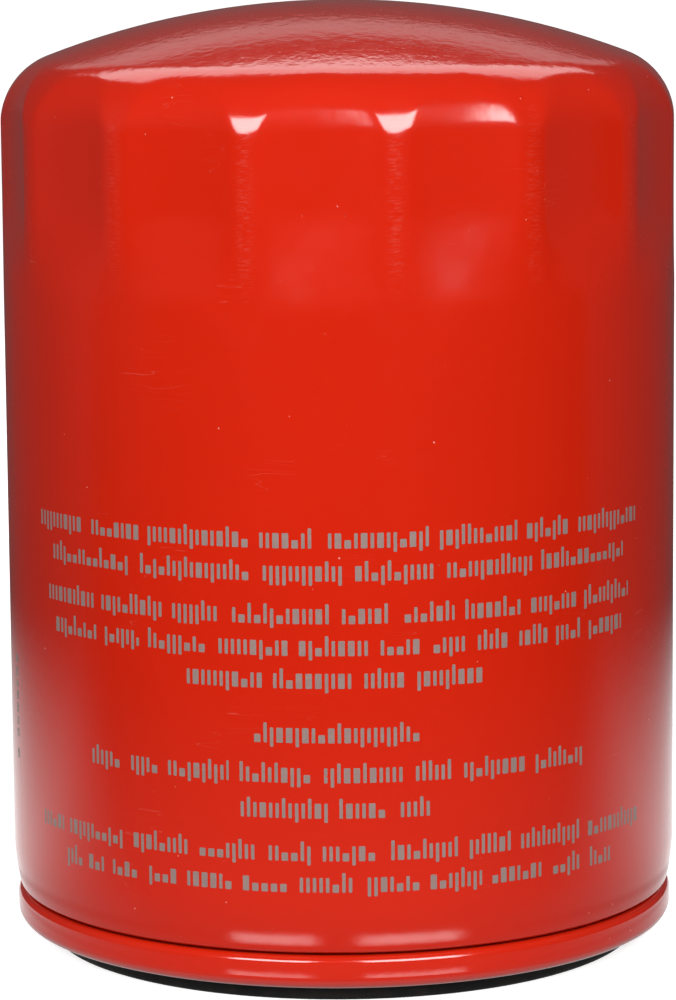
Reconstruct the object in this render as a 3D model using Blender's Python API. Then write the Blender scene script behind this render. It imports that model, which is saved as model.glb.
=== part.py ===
"""Spin-on oil filter: an assembly of separate pieces, in metres, +Z up.

The origin is the centre of the gasket's sealing face, and +Z points to the domed end. Every piece is a closed
solid in its own named object. Pieces that move hang from an empty on their joint's axis.

    blender --background --python part.py
"""

from math import asin, ceil, cos, hypot, pi, radians, sin, sqrt, tan

import bmesh
import bpy
from mathutils import Matrix, Vector

MM = 0.001
GAP = 0.3 * MM  # left between pieces that touch on the real filter
WELD = 1e-7  # points closer than this are one point
SHARP = radians(35)  # edges turning by more than this are shaded sharp

# Can: drawn shell, domed at the top, rolled into the double seam at the bottom
CAN_RADIUS = 46.5 * MM
CAN_WALL = 0.45 * MM
CAN_HEIGHT = 130.3 * MM
DOME_CORNER_RADIUS = 10.0 * MM
DOME_CORNER_TURN = radians(69.2)
SEAM_Z = 7.3 * MM
NECK_RADIUS = 45.8 * MM
NECK_TOP_Z = 13.5 * MM
NECK_BOTTOM_Z = 9.0 * MM
CAN_SEGMENTS = 60

# Wrench flats pressed into the can under its dome
FLAT_COUNT = 15
FIRST_RIDGE = radians(-81.0)  # heading of one ridge, turned from +X about +Z
FLAT_RUNOUT_LOW_Z = 93.0 * MM
FLAT_RUNOUT_HIGH_Z = 101.0 * MM

# Double seam, from outside: lid, can hook, lid hook, can wall, lid
LID_WALL = 0.5 * MM
SEAM_RADIUS = 46.0 * MM
SEAM_BOTTOM_Z = 2.55 * MM
LID_SEGMENTS = 40
CHANNEL_BEND = 0.6 * MM
SEALANT_WIDTH = 1.5 * MM
SEALANT_HEIGHT = 1.2 * MM
SEALANT_SLOPE = 0.6 * MM
SEALANT_DROP = 0.5 * MM

# Gasket and its channel
GASKET_INNER_RADIUS = 36.4 * MM
GASKET_OUTER_RADIUS = 41.4 * MM
GASKET_HEIGHT = 5.6 * MM
GASKET_EDGE = 0.7 * MM
FLANGE_INNER_RADIUS = 29.5 * MM
FLANGE_BOTTOM_Z = 2.9 * MM

# Base plate with the threaded neck, 3/4-16 UNF, bored to the thread's minor diameter
PLATE_RADIUS = 35.0 * MM
PLATE_BOTTOM_Z = 3.7 * MM
PLATE_THICKNESS = 3.0 * MM
THREAD_MINOR_RADIUS = 8.7 * MM
THREAD_ENTRY_RADIUS = 9.7 * MM
NECK_OUTER_RADIUS = 12.2 * MM
NECK_FILLET = 1.0 * MM
HUB_TOP_Z = 14.2 * MM
INLET_COUNT = 8
INLET_RADIUS = 3.75 * MM
INLET_CIRCLE_RADIUS = 21.0 * MM

# Anti-drain valve
VALVE_LIP_RADIUS = 32.0 * MM
VALVE_TOP_Z = 14.7 * MM
VALVE_RUBBER = 1.2 * MM
VALVE_FLANGE_RADIUS = 17.5 * MM
VALVE_SLEEVE_LIFT = 2.0 * MM  # the sleeve's lower end, above the lip
VALVE_LIP_WIDTH = 1.2 * MM
VALVE_LIP_EDGE = 0.7 * MM
VALVE_FILLET = 0.6 * MM

# Filter element
ELEMENT_SEGMENTS = 36
CAP_WALL = 0.4 * MM
CAP_RADIUS = 40.6 * MM
CAP_RIM = 4.0 * MM
CAP_BEND = 0.8 * MM
CAP_COLLAR = 3.0 * MM
LOWER_CAP_Z = VALVE_TOP_Z + GAP
UPPER_CAP_TOP_Z = 108.5 * MM
LOWER_CAP_HOLE_RADIUS = 14.0 * MM
UPPER_CAP_HOLE_RADIUS = 9.4 * MM
BED_THICKNESS = 1.5 * MM
BED_INSET = 0.8 * MM  # from the inside of the cap's rim
TUBE_RADIUS = 16.5 * MM
TUBE_WALL = 0.5 * MM
TUBE_HOLE_RADIUS = 2.6 * MM
TUBE_HOLES_AROUND = 6
TUBE_HOLE_ROWS = 7
TUBE_SEGMENTS = 20
TUBE_HOLE_SEGMENTS = 6
PLEATS = 40
PAPER = 0.8 * MM
PLEAT_INNER_RADIUS = 17.6 * MM
PLEAT_OUTER_RADIUS = 39.0 * MM
PLEAT_FOLD_WIDTH = 1.4 * MM
CLIP_WALL = 0.4 * MM
CLIP_LEG = 5.0 * MM
CLIP_SLACK = 0.2 * MM
CLIP_SPREAD = 0.3 * MM
CLIP_FROM_RIM = 1.0 * MM

# Bypass valve in the upper cap
VALVE_SEGMENTS = 24
SEAT_WALL = 0.5 * MM
SEAT_BEND = 0.7 * MM
SEAT_FLANGE_RADIUS = 13.4 * MM
SEAT_RADIUS = 6.9 * MM
SEAT_LIP_Z = 105.6 * MM
BYPASS_GASKET = 0.8 * MM
POPPET_RADIUS = 9.0 * MM
POPPET_PLATE = 0.6 * MM
POPPET_SEGMENTS = 20
STEM_RADIUS = 2.0 * MM
STEM_CHAMFER = 0.5 * MM
STEM_CLEARANCE = 0.35 * MM
BOSS_STEP = 0.5 * MM  # the boss inside the seal, wider than the stem
BOSS_BELOW_SEAL = 0.4 * MM
STEM_BOTTOM_Z = 90.0 * MM
SEAL_THICKNESS = 1.2 * MM
CAGE_RADIUS = 11.4 * MM
CAGE_FLANGE_RADIUS = 14.6 * MM
CAGE_FLOOR_Z = 92.0 * MM
CAGE_BEND = 0.8 * MM
WINDOW_WIDTH = 9.0 * MM
WINDOW_MARGIN = 2.5 * MM
WINDOW_TURNS = (radians(45), radians(135))
BYPASS_COIL_RADIUS = 5.6 * MM
BYPASS_WIRE_RADIUS = 0.45 * MM
BYPASS_COIL_TURNS = 4.5
BYPASS_END_TURNS = 0.4
BYPASS_COIL_STEPS = 12  # around one turn
BYPASS_WIRE_SIDES = 5

# Hold-down spring between the dome and the upper cap, a cone
HOLD_COIL_LOW_RADIUS = 17.5 * MM
HOLD_COIL_HIGH_RADIUS = 13.0 * MM
HOLD_WIRE_RADIUS = 1.1 * MM
HOLD_COIL_TURNS = 3.5
HOLD_END_TURNS = 0.5
HOLD_COIL_STEPS = 16
HOLD_WIRE_SIDES = 6

# Sizes worked out from the ones above
PLATE_TOP_Z = PLATE_BOTTOM_Z + PLATE_THICKNESS
CORNER_CENTRE_RADIUS = CAN_RADIUS - DOME_CORNER_RADIUS
CORNER_END_RADIUS = CORNER_CENTRE_RADIUS + DOME_CORNER_RADIUS * cos(DOME_CORNER_TURN)
DOME_RADIUS = CORNER_END_RADIUS / cos(DOME_CORNER_TURN)
CORNER_Z = CAN_HEIGHT - DOME_RADIUS + (DOME_RADIUS - DOME_CORNER_RADIUS) * sin(DOME_CORNER_TURN)
MEDIA_BOTTOM_Z = LOWER_CAP_Z + CAP_WALL + BED_THICKNESS + 2 * GAP
UPPER_CAP_BOTTOM_Z = UPPER_CAP_TOP_Z - CAP_WALL
MEDIA_TOP_Z = UPPER_CAP_BOTTOM_Z - BED_THICKNESS - 2 * GAP
SEAL_TOP_Z = SEAT_LIP_Z - GAP
POPPET_TOP_Z = SEAL_TOP_Z - SEAL_THICKNESS - GAP

# Colour, metallic, roughness
MATERIALS = {
    "red_paint": ((0.70, 0.020, 0.006), 0.0, 0.25),
    "black_rubber": ((0.012, 0.012, 0.012), 0.0, 0.75),
    "plated_steel": ((0.56, 0.55, 0.52), 1.0, 0.38),
    "tin_plate": ((0.66, 0.65, 0.62), 1.0, 0.30),
    "spring_steel": ((0.30, 0.30, 0.31), 1.0, 0.35),
    "sealing_compound": ((0.42, 0.40, 0.36), 0.0, 0.6),
    "plastisol": ((0.55, 0.16, 0.05), 0.0, 0.45),
    "filter_paper": ((0.80, 0.62, 0.30), 0.0, 0.9),
    "valve_rubber": ((0.10, 0.035, 0.02), 0.0, 0.6),
    "nylon": ((0.04, 0.04, 0.045), 0.0, 0.45),
}


def clear_scene():
    for thing in list(bpy.data.objects):
        bpy.data.objects.remove(thing, do_unlink=True)


def material(name):
    made = bpy.data.materials.get(name)
    if made:
        return made
    made = bpy.data.materials.new(name)
    made.use_nodes = True
    color, metallic, roughness = MATERIALS[name]
    shader = made.node_tree.nodes["Principled BSDF"]
    shader.inputs["Base Color"].default_value = (*color, 1.0)
    shader.inputs["Metallic"].default_value = metallic
    shader.inputs["Roughness"].default_value = roughness
    return made


def mesh_object(name, bm, material_name, origin=(0.0, 0.0, 0.0), parent=None):
    """The bmesh, in world coordinates, as an object whose origin is at the given point."""
    bmesh.ops.remove_doubles(bm, verts=bm.verts, dist=WELD)
    bmesh.ops.recalc_face_normals(bm, faces=bm.faces)
    bmesh.ops.translate(bm, verts=bm.verts, vec=-Vector(origin))
    mesh = bpy.data.meshes.new(name)
    bm.to_mesh(mesh)
    bm.free()
    mesh.shade_smooth()
    mesh.set_sharp_from_angle(angle=SHARP)
    thing = bpy.data.objects.new(name, mesh)
    bpy.context.scene.collection.objects.link(thing)
    if material_name:
        mesh.materials.append(material(material_name))
    thing.location = origin
    if parent:
        thing.parent = parent
        thing.matrix_parent_inverse = Matrix.Translation(-parent.location)
    return thing


def joint_empty(name, z):
    empty = bpy.data.objects.new(name, None)
    empty.location = (0.0, 0.0, z)
    bpy.context.scene.collection.objects.link(empty)
    return empty


def cut_away(thing, cutters):
    """Boolean differences that stay on the object. The cutters are wires that don't render."""
    for cutter in cutters:
        cutter.display_type = "WIRE"
        cutter.hide_render = True
        cut = thing.modifiers.new(cutter.name, "BOOLEAN")
        cut.operation = "DIFFERENCE"
        cut.solver = "EXACT"
        cut.object = cutter


def arc(centre, radius, start, end, steps):
    """Points of an arc in the (r, z) plane, both ends included; angles in degrees from +r towards +z."""
    points = []
    for step in range(steps + 1):
        angle = radians(start + (end - start) * step / steps)
        points.append((centre[0] + radius * cos(angle), centre[1] + radius * sin(angle)))
    return points


def sheet(middle, thickness):
    """The closed outline of a sheet of even thickness, from its middle line in the (r, z) plane."""
    left, right = [], []
    for index, (r, z) in enumerate(middle):
        before = middle[max(index - 1, 0)]
        after = middle[min(index + 1, len(middle) - 1)]
        into = Vector((r - before[0], z - before[1]))
        out = Vector((after[0] - r, after[1] - z))
        into = into if into.length > 0 else out
        out = out if out.length > 0 else into
        into.normalize()
        out.normalize()
        along = (into + out).normalized()
        reach = 0.5 * thickness / max(along.dot(into), 0.5)
        normal = Vector((-along.y, along.x)) * reach
        on_axis = r == 0
        left.append((0.0 if on_axis else r + normal.x, z + normal.y))
        right.append((0.0 if on_axis else r - normal.x, z - normal.y))
    return left + right[::-1]


def turned(outline, segments, start=0.0):
    """A bmesh turned about Z from an outline in the (r, z) plane; one that meets the axis ends on it."""
    bm = bmesh.new()
    heading = Matrix.Rotation(start, 4, "Z")
    corners = [bm.verts.new(heading @ Vector((r, 0.0, z))) for r, z in outline]
    pairs = list(zip(corners, corners[1:] + corners[:1]))
    edges = [bm.edges.new((a, b)) for a, b in pairs if hypot(a.co.x, a.co.y) > 0 or hypot(b.co.x, b.co.y) > 0]
    bmesh.ops.spin(
        bm, geom=corners + edges, cent=(0, 0, 0), axis=(0, 0, 1), angle=2 * pi, steps=segments, use_merge=True
    )
    bmesh.ops.remove_doubles(bm, verts=bm.verts, dist=WELD)
    return bm


def extruded(outline, low, high):
    """A bmesh extruded along Z from a closed outline in the (x, y) plane."""
    bm = bmesh.new()
    face = bm.faces.new([bm.verts.new((x, y, low)) for x, y in outline])
    risen = bmesh.ops.extrude_face_region(bm, geom=[face])
    top = [item for item in risen["geom"] if isinstance(item, bmesh.types.BMVert)]
    bmesh.ops.translate(bm, verts=top, vec=(0, 0, high - low))
    return bm


def round_cutter(name, radius, low, high, x=0.0, y=0.0, segments=16):
    bm = bmesh.new()
    bmesh.ops.create_cone(
        bm, cap_ends=True, segments=segments, radius1=radius, radius2=radius, depth=high - low
    )
    bmesh.ops.translate(bm, verts=bm.verts, vec=(x, y, 0.5 * (low + high)))
    return mesh_object(name, bm, None)


def box_cutter(name, size, centre, turn=0.0):
    bm = bmesh.new()
    bmesh.ops.create_cube(bm, size=1.0)
    bmesh.ops.scale(bm, verts=bm.verts, vec=size)
    bmesh.ops.translate(bm, verts=bm.verts, vec=centre)
    bmesh.ops.rotate(bm, verts=bm.verts, cent=(0, 0, 0), matrix=Matrix.Rotation(turn, 3, "Z"))
    return mesh_object(name, bm, None)


def flat_limit(radius_here, z, heading):
    """How far from the axis the wrench flats let the can's surface lie, at a height and a heading."""
    pitch = 2 * pi / FLAT_COUNT
    from_flat = (heading - FIRST_RIDGE) % pitch - 0.5 * pitch
    full_depth = radius_here * (1 - cos(0.5 * pitch))
    pressed = (z - FLAT_RUNOUT_LOW_Z) / (FLAT_RUNOUT_HIGH_Z - FLAT_RUNOUT_LOW_Z)
    depth = full_depth * min(max(pressed, 0.0), 1.0)
    return (radius_here - depth) / cos(from_flat)


def press_flats(bm):
    """Moves the can's outer and inner surface in to the wrench flats."""
    for vert in bm.verts:
        r = hypot(vert.co.x, vert.co.y)
        if vert.co.z < FLAT_RUNOUT_LOW_Z or r < CORNER_CENTRE_RADIUS:
            continue
        rise = max(vert.co.z - CORNER_Z, 0.0)
        from_corner = hypot(r - CORNER_CENTRE_RADIUS, rise)
        outside = from_corner > DOME_CORNER_RADIUS - 0.5 * CAN_WALL
        surface = CAN_RADIUS if outside else CAN_RADIUS - CAN_WALL
        heading = Vector((vert.co.x, vert.co.y)).angle_signed(Vector((1, 0)))
        limit = flat_limit(surface, vert.co.z, heading)
        if r > limit:
            vert.co.x *= limit / r
            vert.co.y *= limit / r


def can_middle_line():
    """Middle of the can's wall, from the dome's top down to the end of its seam hook."""
    half = 0.5 * CAN_WALL
    dome_centre_z = CAN_HEIGHT - DOME_RADIUS
    turn = 90 - DOME_CORNER_TURN * 180 / pi
    line = [(0.0, CAN_HEIGHT - half)]
    dome = arc((0.0, dome_centre_z), DOME_RADIUS - half, 90, 90 - turn, 3)
    line += dome[1:]
    corner = arc((CORNER_CENTRE_RADIUS, CORNER_Z), DOME_CORNER_RADIUS - half, 90 - turn, 0, 4)
    line += corner[1:]
    wall = CAN_RADIUS - half
    line += [(wall, FLAT_RUNOUT_HIGH_Z), (wall, FLAT_RUNOUT_LOW_Z), (wall, NECK_TOP_Z)]
    neck = NECK_RADIUS - half
    line += [(neck, NECK_BOTTOM_Z)]
    fold = lid_fold()
    over = fold["top_radius"] + 0.5 * LID_WALL + GAP + half
    roll = neck - fold["top"][0]
    line += arc((fold["top"][0], fold["top"][1] + over + roll), roll, 0, -90, 2)
    line += arc(fold["top"], over, 90, 180, 2)[1:]
    under = fold["can_radius"]
    line += arc(fold["bottom"], under, 180, 360, 4)
    line += [(fold["bottom"][0] + under, fold["top"][1])]
    return line


def lid_fold():
    """Centres and radii of the double seam's folds, from the seam's outer radius and the two walls."""
    layer = LID_WALL + CAN_WALL + 2 * GAP
    top_radius = 0.5 * layer
    outer = SEAM_RADIUS - 0.5 * LID_WALL
    top = (outer - top_radius, SEAM_Z - 0.5 * GAP - 0.5 * LID_WALL - top_radius)
    bottom_radius = layer
    bottom = (outer - layer, SEAM_BOTTOM_Z + 0.5 * LID_WALL + bottom_radius)
    return {
        "top": top,
        "top_radius": top_radius,
        "bottom": bottom,
        "bottom_radius": bottom_radius,
        "can_radius": 0.5 * layer,
    }


def make_can():
    bm = turned(sheet(can_middle_line(), CAN_WALL), CAN_SEGMENTS, FIRST_RIDGE)
    press_flats(bm)
    mesh_object("can", bm, "red_paint")


def make_gasket_retainer():
    fold = lid_fold()
    flange_z = FLANGE_BOTTOM_Z + 0.5 * LID_WALL
    inner_wall = GASKET_INNER_RADIUS - GAP - 0.5 * LID_WALL
    floor_z = GASKET_HEIGHT + GAP + 0.5 * LID_WALL
    chuck = fold["bottom"][0] - fold["bottom_radius"]
    bend = CHANNEL_BEND
    line = [(FLANGE_INNER_RADIUS, flange_z)]
    line += arc((inner_wall - bend, flange_z + bend), bend, -90, 0, 1)
    line += arc((inner_wall + bend, floor_z - bend), bend, 180, 90, 1)
    line += arc((chuck - bend, floor_z - bend), bend, 90, 0, 1)
    line += arc(fold["bottom"], fold["bottom_radius"], 180, 360, 4)
    line += arc(fold["top"], fold["top_radius"], 0, 180, 4)
    line += [(fold["top"][0] - fold["top_radius"], fold["bottom"][1])]
    mesh_object("gasket_retainer", turned(sheet(line, LID_WALL), LID_SEGMENTS), "red_paint")


def make_seam_sealant():
    fold = lid_fold()
    inside_can = fold["bottom"][0] - fold["can_radius"] - 0.5 * CAN_WALL - GAP
    low = GASKET_HEIGHT + LID_WALL + 2 * GAP
    outline = [
        (inside_can - SEALANT_WIDTH, low),
        (inside_can, low),
        (inside_can, low + SEALANT_HEIGHT),
        (inside_can - SEALANT_SLOPE, low + SEALANT_HEIGHT - SEALANT_DROP),
    ]
    mesh_object("seam_sealant", turned(outline, LID_SEGMENTS), "sealing_compound")


def make_gasket():
    edge = GASKET_EDGE
    inner = GASKET_INNER_RADIUS + edge
    outer = GASKET_OUTER_RADIUS - edge
    high = GASKET_HEIGHT - edge
    outline = arc((inner, edge), edge, 180, 270, 2)
    outline += arc((outer, edge), edge, 270, 360, 2)
    outline += arc((outer, high), edge, 0, 90, 1)
    outline += arc((inner, high), edge, 90, 180, 1)
    mesh_object("gasket", turned(outline, LID_SEGMENTS), "black_rubber")


def make_base_plate():
    entry = THREAD_ENTRY_RADIUS - THREAD_MINOR_RADIUS
    outline = [
        (THREAD_ENTRY_RADIUS, PLATE_BOTTOM_Z),
        (PLATE_RADIUS, PLATE_BOTTOM_Z),
        (PLATE_RADIUS, PLATE_TOP_Z),
        (NECK_OUTER_RADIUS + NECK_FILLET, PLATE_TOP_Z),
        (NECK_OUTER_RADIUS, PLATE_TOP_Z + NECK_FILLET),
        (NECK_OUTER_RADIUS, HUB_TOP_Z),
        (THREAD_MINOR_RADIUS, HUB_TOP_Z),
        (THREAD_MINOR_RADIUS, PLATE_BOTTOM_Z + entry),
    ]
    plate = mesh_object("base_plate", turned(outline, LID_SEGMENTS), "plated_steel")
    holes = []
    for index in range(INLET_COUNT):
        heading = 2 * pi * (index + 0.5) / INLET_COUNT
        x = INLET_CIRCLE_RADIUS * cos(heading)
        y = INLET_CIRCLE_RADIUS * sin(heading)
        name = f"inlet_cutter_{index + 1}"
        low, high = PLATE_BOTTOM_Z - MM, PLATE_TOP_Z + MM
        holes.append(round_cutter(name, INLET_RADIUS, low, high, x, y))
    cut_away(plate, holes)


def make_anti_drain_valve(parent):
    """Rubber cone: a sleeve on the base plate's neck, a flange under the element, and a lip on the plate."""
    sleeve = NECK_OUTER_RADIUS + GAP
    flange = VALVE_FLANGE_RADIUS
    under = VALVE_TOP_Z - VALVE_RUBBER - VALVE_FILLET
    lip_z = PLATE_TOP_Z + GAP
    outline = [
        (sleeve, lip_z + VALVE_SLEEVE_LIFT),
        (sleeve + VALVE_RUBBER, lip_z + VALVE_SLEEVE_LIFT),
        (sleeve + VALVE_RUBBER, under),
        (flange, under),
        (VALVE_LIP_RADIUS - VALVE_LIP_WIDTH, lip_z),
        (VALVE_LIP_RADIUS, lip_z),
        (VALVE_LIP_RADIUS, lip_z + VALVE_LIP_EDGE),
        (flange + VALVE_FILLET, VALVE_TOP_Z - 0.5 * VALVE_FILLET),
        (flange - VALVE_FILLET, VALVE_TOP_Z),
        (sleeve, VALVE_TOP_Z),
    ]
    bm = turned(outline, ELEMENT_SEGMENTS)
    mesh_object("anti_drain_valve", bm, "valve_rubber", (0, 0, VALVE_TOP_Z), parent)


def make_end_caps(parent):
    half = 0.5 * CAP_WALL
    rim = CAP_RADIUS - half
    bend = CAP_BEND
    low = LOWER_CAP_Z + half
    collar = LOWER_CAP_HOLE_RADIUS + half
    line = [(collar, low + CAP_COLLAR)]
    line += arc((collar + bend, low + bend), bend, 180, 270, 2)
    line += arc((rim - bend, low + bend), bend, 270, 360, 2)
    line += [(rim, low + CAP_RIM)]
    bm = turned(sheet(line, CAP_WALL), ELEMENT_SEGMENTS)
    mesh_object("lower_end_cap", bm, "tin_plate", (0, 0, LOWER_CAP_Z), parent)

    high = UPPER_CAP_TOP_Z - half
    line = [(rim, high - CAP_RIM)]
    line += arc((rim - bend, high - bend), bend, 0, 90, 2)
    line += [(UPPER_CAP_HOLE_RADIUS, high)]
    bm = turned(sheet(line, CAP_WALL), ELEMENT_SEGMENTS)
    mesh_object("upper_end_cap", bm, "tin_plate", (0, 0, UPPER_CAP_TOP_Z), parent)


def ring(inner, outer, low, high, segments):
    return turned([(inner, low), (outer, low), (outer, high), (inner, high)], segments)


def make_adhesive_beds(parent):
    inner = TUBE_RADIUS + GAP
    outer = CAP_RADIUS - CAP_WALL - BED_INSET
    floors = {"lower_adhesive_bed": LOWER_CAP_Z + CAP_WALL + GAP, "upper_adhesive_bed": MEDIA_TOP_Z + GAP}
    for name, low in floors.items():
        bm = ring(inner, outer, low, low + BED_THICKNESS, ELEMENT_SEGMENTS)
        mesh_object(name, bm, "plastisol", (0, 0, low), parent)


def pleat_line():
    """Middle line of the pleated paper, in the (x, y) plane: two corners at each fold."""
    line = []
    pitch = 2 * pi / PLEATS
    inner_half = asin(0.5 * PLEAT_FOLD_WIDTH / PLEAT_INNER_RADIUS)
    outer_half = asin(0.5 * PLEAT_FOLD_WIDTH / PLEAT_OUTER_RADIUS)
    for pleat in range(PLEATS):
        valley = pleat * pitch
        peak = valley + 0.5 * pitch
        for radius, heading in (
            (PLEAT_INNER_RADIUS, valley - inner_half),
            (PLEAT_INNER_RADIUS, valley + inner_half),
            (PLEAT_OUTER_RADIUS, peak - outer_half),
            (PLEAT_OUTER_RADIUS, peak + outer_half),
        ):
            line.append(Vector((radius * cos(heading), radius * sin(heading))))
    return line


def beside(line, distance):
    """A closed line moved sideways by a distance, with its corners mitred."""
    moved = []
    for index, point in enumerate(line):
        into = (point - line[index - 1]).normalized()
        out = (line[(index + 1) % len(line)] - point).normalized()
        along = (into + out).normalized()
        reach = distance / along.dot(into)
        moved.append(point + Vector((along.y, -along.x)) * reach)
    return moved


def make_pleated_media(parent):
    line = pleat_line()
    outer = beside(line, 0.5 * PAPER)
    inner = beside(line, -0.5 * PAPER)
    bm = bmesh.new()
    levels = []
    corners = [(outer, MEDIA_BOTTOM_Z), (outer, MEDIA_TOP_Z), (inner, MEDIA_TOP_Z), (inner, MEDIA_BOTTOM_Z)]
    for loop, z in corners:
        levels.append([bm.verts.new((point.x, point.y, z)) for point in loop])
    for lower, upper in zip(levels, levels[1:] + levels[:1]):
        for index in range(len(line)):
            after = (index + 1) % len(line)
            bm.faces.new((lower[index], lower[after], upper[after], upper[index]))
    mesh_object("pleated_media", bm, "filter_paper", (0, 0, MEDIA_BOTTOM_Z), parent)


def make_media_seam_clip(parent):
    """A channel over the outer fold where the paper's two ends meet."""
    inside = 0.5 * (PLEAT_FOLD_WIDTH + PAPER) + GAP + CLIP_SLACK
    outside = inside + CLIP_WALL
    back = PLEAT_OUTER_RADIUS + 0.5 * PAPER + GAP
    front = back - CLIP_LEG
    spread = tan(pi / PLEATS) * CLIP_SPREAD
    outline = [
        (front, -outside - spread),
        (back + CLIP_WALL, -outside),
        (back + CLIP_WALL, outside),
        (front, outside + spread),
        (front, inside + spread),
        (back, inside),
        (back, -inside),
        (front, -inside - spread),
    ]
    turn = Matrix.Rotation(pi / PLEATS, 2)
    outline = [turn @ Vector(corner) for corner in outline]
    low = LOWER_CAP_Z + CAP_RIM + CLIP_FROM_RIM
    high = UPPER_CAP_TOP_Z - CAP_RIM - CLIP_FROM_RIM
    mesh_object("media_seam_clip", extruded(outline, low, high), "tin_plate", (0, 0, low), parent)


def make_centre_tube(parent):
    low = LOWER_CAP_Z + CAP_WALL + GAP
    high = UPPER_CAP_BOTTOM_Z - GAP
    bm = ring(TUBE_RADIUS - TUBE_WALL, TUBE_RADIUS, low, high, TUBE_SEGMENTS)
    tube = mesh_object("centre_tube", bm, "tin_plate", (0, 0, low), parent)
    cutters = []
    row_step = (high - low) / (TUBE_HOLE_ROWS + 1)
    for row in range(TUBE_HOLE_ROWS):
        for column in range(TUBE_HOLES_AROUND // 2):
            turn = pi * (2 * column + row % 2) / TUBE_HOLES_AROUND
            bm = bmesh.new()
            bmesh.ops.create_cone(
                bm,
                cap_ends=True,
                segments=TUBE_HOLE_SEGMENTS,
                radius1=TUBE_HOLE_RADIUS,
                radius2=TUBE_HOLE_RADIUS,
                depth=3 * TUBE_RADIUS,
            )
            bmesh.ops.rotate(bm, verts=bm.verts, matrix=Matrix.Rotation(pi / 2, 3, "Y"))
            bmesh.ops.rotate(bm, verts=bm.verts, matrix=Matrix.Rotation(turn, 3, "Z"))
            bmesh.ops.translate(bm, verts=bm.verts, vec=(0, 0, low + (row + 1) * row_step))
            cutters.append(mesh_object(f"tube_cutter_{row + 1}_{column + 1}", bm, None))
    cut_away(tube, cutters)


def make_bypass_seat(parent):
    low = UPPER_CAP_TOP_Z + GAP
    bm = ring(UPPER_CAP_HOLE_RADIUS, SEAT_FLANGE_RADIUS, low, low + BYPASS_GASKET, VALVE_SEGMENTS)
    mesh_object("bypass_gasket", bm, "black_rubber", (0, 0, low), parent)
    flange_z = low + BYPASS_GASKET + GAP + 0.5 * SEAT_WALL
    bend = SEAT_BEND
    line = [(SEAT_FLANGE_RADIUS, flange_z)]
    line += arc((SEAT_RADIUS + bend, flange_z - bend), bend, 90, 180, 2)
    line += [(SEAT_RADIUS, SEAT_LIP_Z)]
    bm = turned(sheet(line, SEAT_WALL), VALVE_SEGMENTS)
    mesh_object("bypass_seat", bm, "tin_plate", (0, 0, SEAT_LIP_Z), parent)


def make_bypass_cage(parent):
    half = 0.5 * SEAT_WALL
    flange_z = UPPER_CAP_BOTTOM_Z - GAP - half
    wall = CAGE_RADIUS - half
    bend = CAGE_BEND
    line = [(CAGE_FLANGE_RADIUS, flange_z)]
    line += arc((wall + bend, flange_z - bend), bend, 90, 180, 2)
    line += arc((wall - bend, CAGE_FLOOR_Z + bend), bend, 0, -90, 2)
    line += [(STEM_RADIUS + STEM_CLEARANCE, CAGE_FLOOR_Z)]
    bm = turned(sheet(line, SEAT_WALL), VALVE_SEGMENTS)
    cage = mesh_object("bypass_cage", bm, "tin_plate", (0, 0, CAGE_FLOOR_Z), parent)
    low = CAGE_FLOOR_Z + WINDOW_MARGIN
    high = flange_z - WINDOW_MARGIN
    size = (3 * CAGE_RADIUS, WINDOW_WIDTH, high - low)
    cutters = []
    for index, turn in enumerate(WINDOW_TURNS):
        cutters.append(box_cutter(f"window_cutter_{index + 1}", size, (0, 0, 0.5 * (low + high)), turn))
    cut_away(cage, cutters)


def make_bypass_poppet(parent):
    plate_z = POPPET_TOP_Z - POPPET_PLATE
    boss = STEM_RADIUS + BOSS_STEP
    outline = [
        (0.0, SEAL_TOP_Z - BOSS_BELOW_SEAL),
        (boss, SEAL_TOP_Z - BOSS_BELOW_SEAL),
        (boss, POPPET_TOP_Z),
        (POPPET_RADIUS, POPPET_TOP_Z),
        (POPPET_RADIUS, plate_z),
        (STEM_RADIUS, plate_z),
        (STEM_RADIUS, STEM_BOTTOM_Z + STEM_CHAMFER),
        (STEM_RADIUS - STEM_CHAMFER, STEM_BOTTOM_Z),
        (0.0, STEM_BOTTOM_Z),
    ]
    bm = turned(outline, POPPET_SEGMENTS)
    mesh_object("bypass_poppet", bm, "nylon", (0, 0, POPPET_TOP_Z), parent)
    low = POPPET_TOP_Z + GAP
    bm = ring(boss + GAP, POPPET_RADIUS, low, low + SEAL_THICKNESS, POPPET_SEGMENTS)
    mesh_object("bypass_seal", bm, "black_rubber", (0, 0, low), parent)


def coil_line(turns, flat_turns, heights, radii, steps_around):
    """Points along a helix with flat end turns, its radius changing evenly from end to end."""
    steps = ceil(turns * steps_around)
    low_z, high_z = heights
    low_radius, high_radius = radii
    points = []
    for step in range(steps + 1):
        turned_so_far = turns * step / steps
        risen = (turned_so_far - flat_turns) / (turns - 2 * flat_turns)
        risen = min(max(risen, 0.0), 1.0)
        radius = low_radius + (high_radius - low_radius) * turned_so_far / turns
        heading = 2 * pi * turned_so_far
        z = low_z + (high_z - low_z) * risen
        points.append(Vector((radius * cos(heading), radius * sin(heading), z)))
    return points


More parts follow.
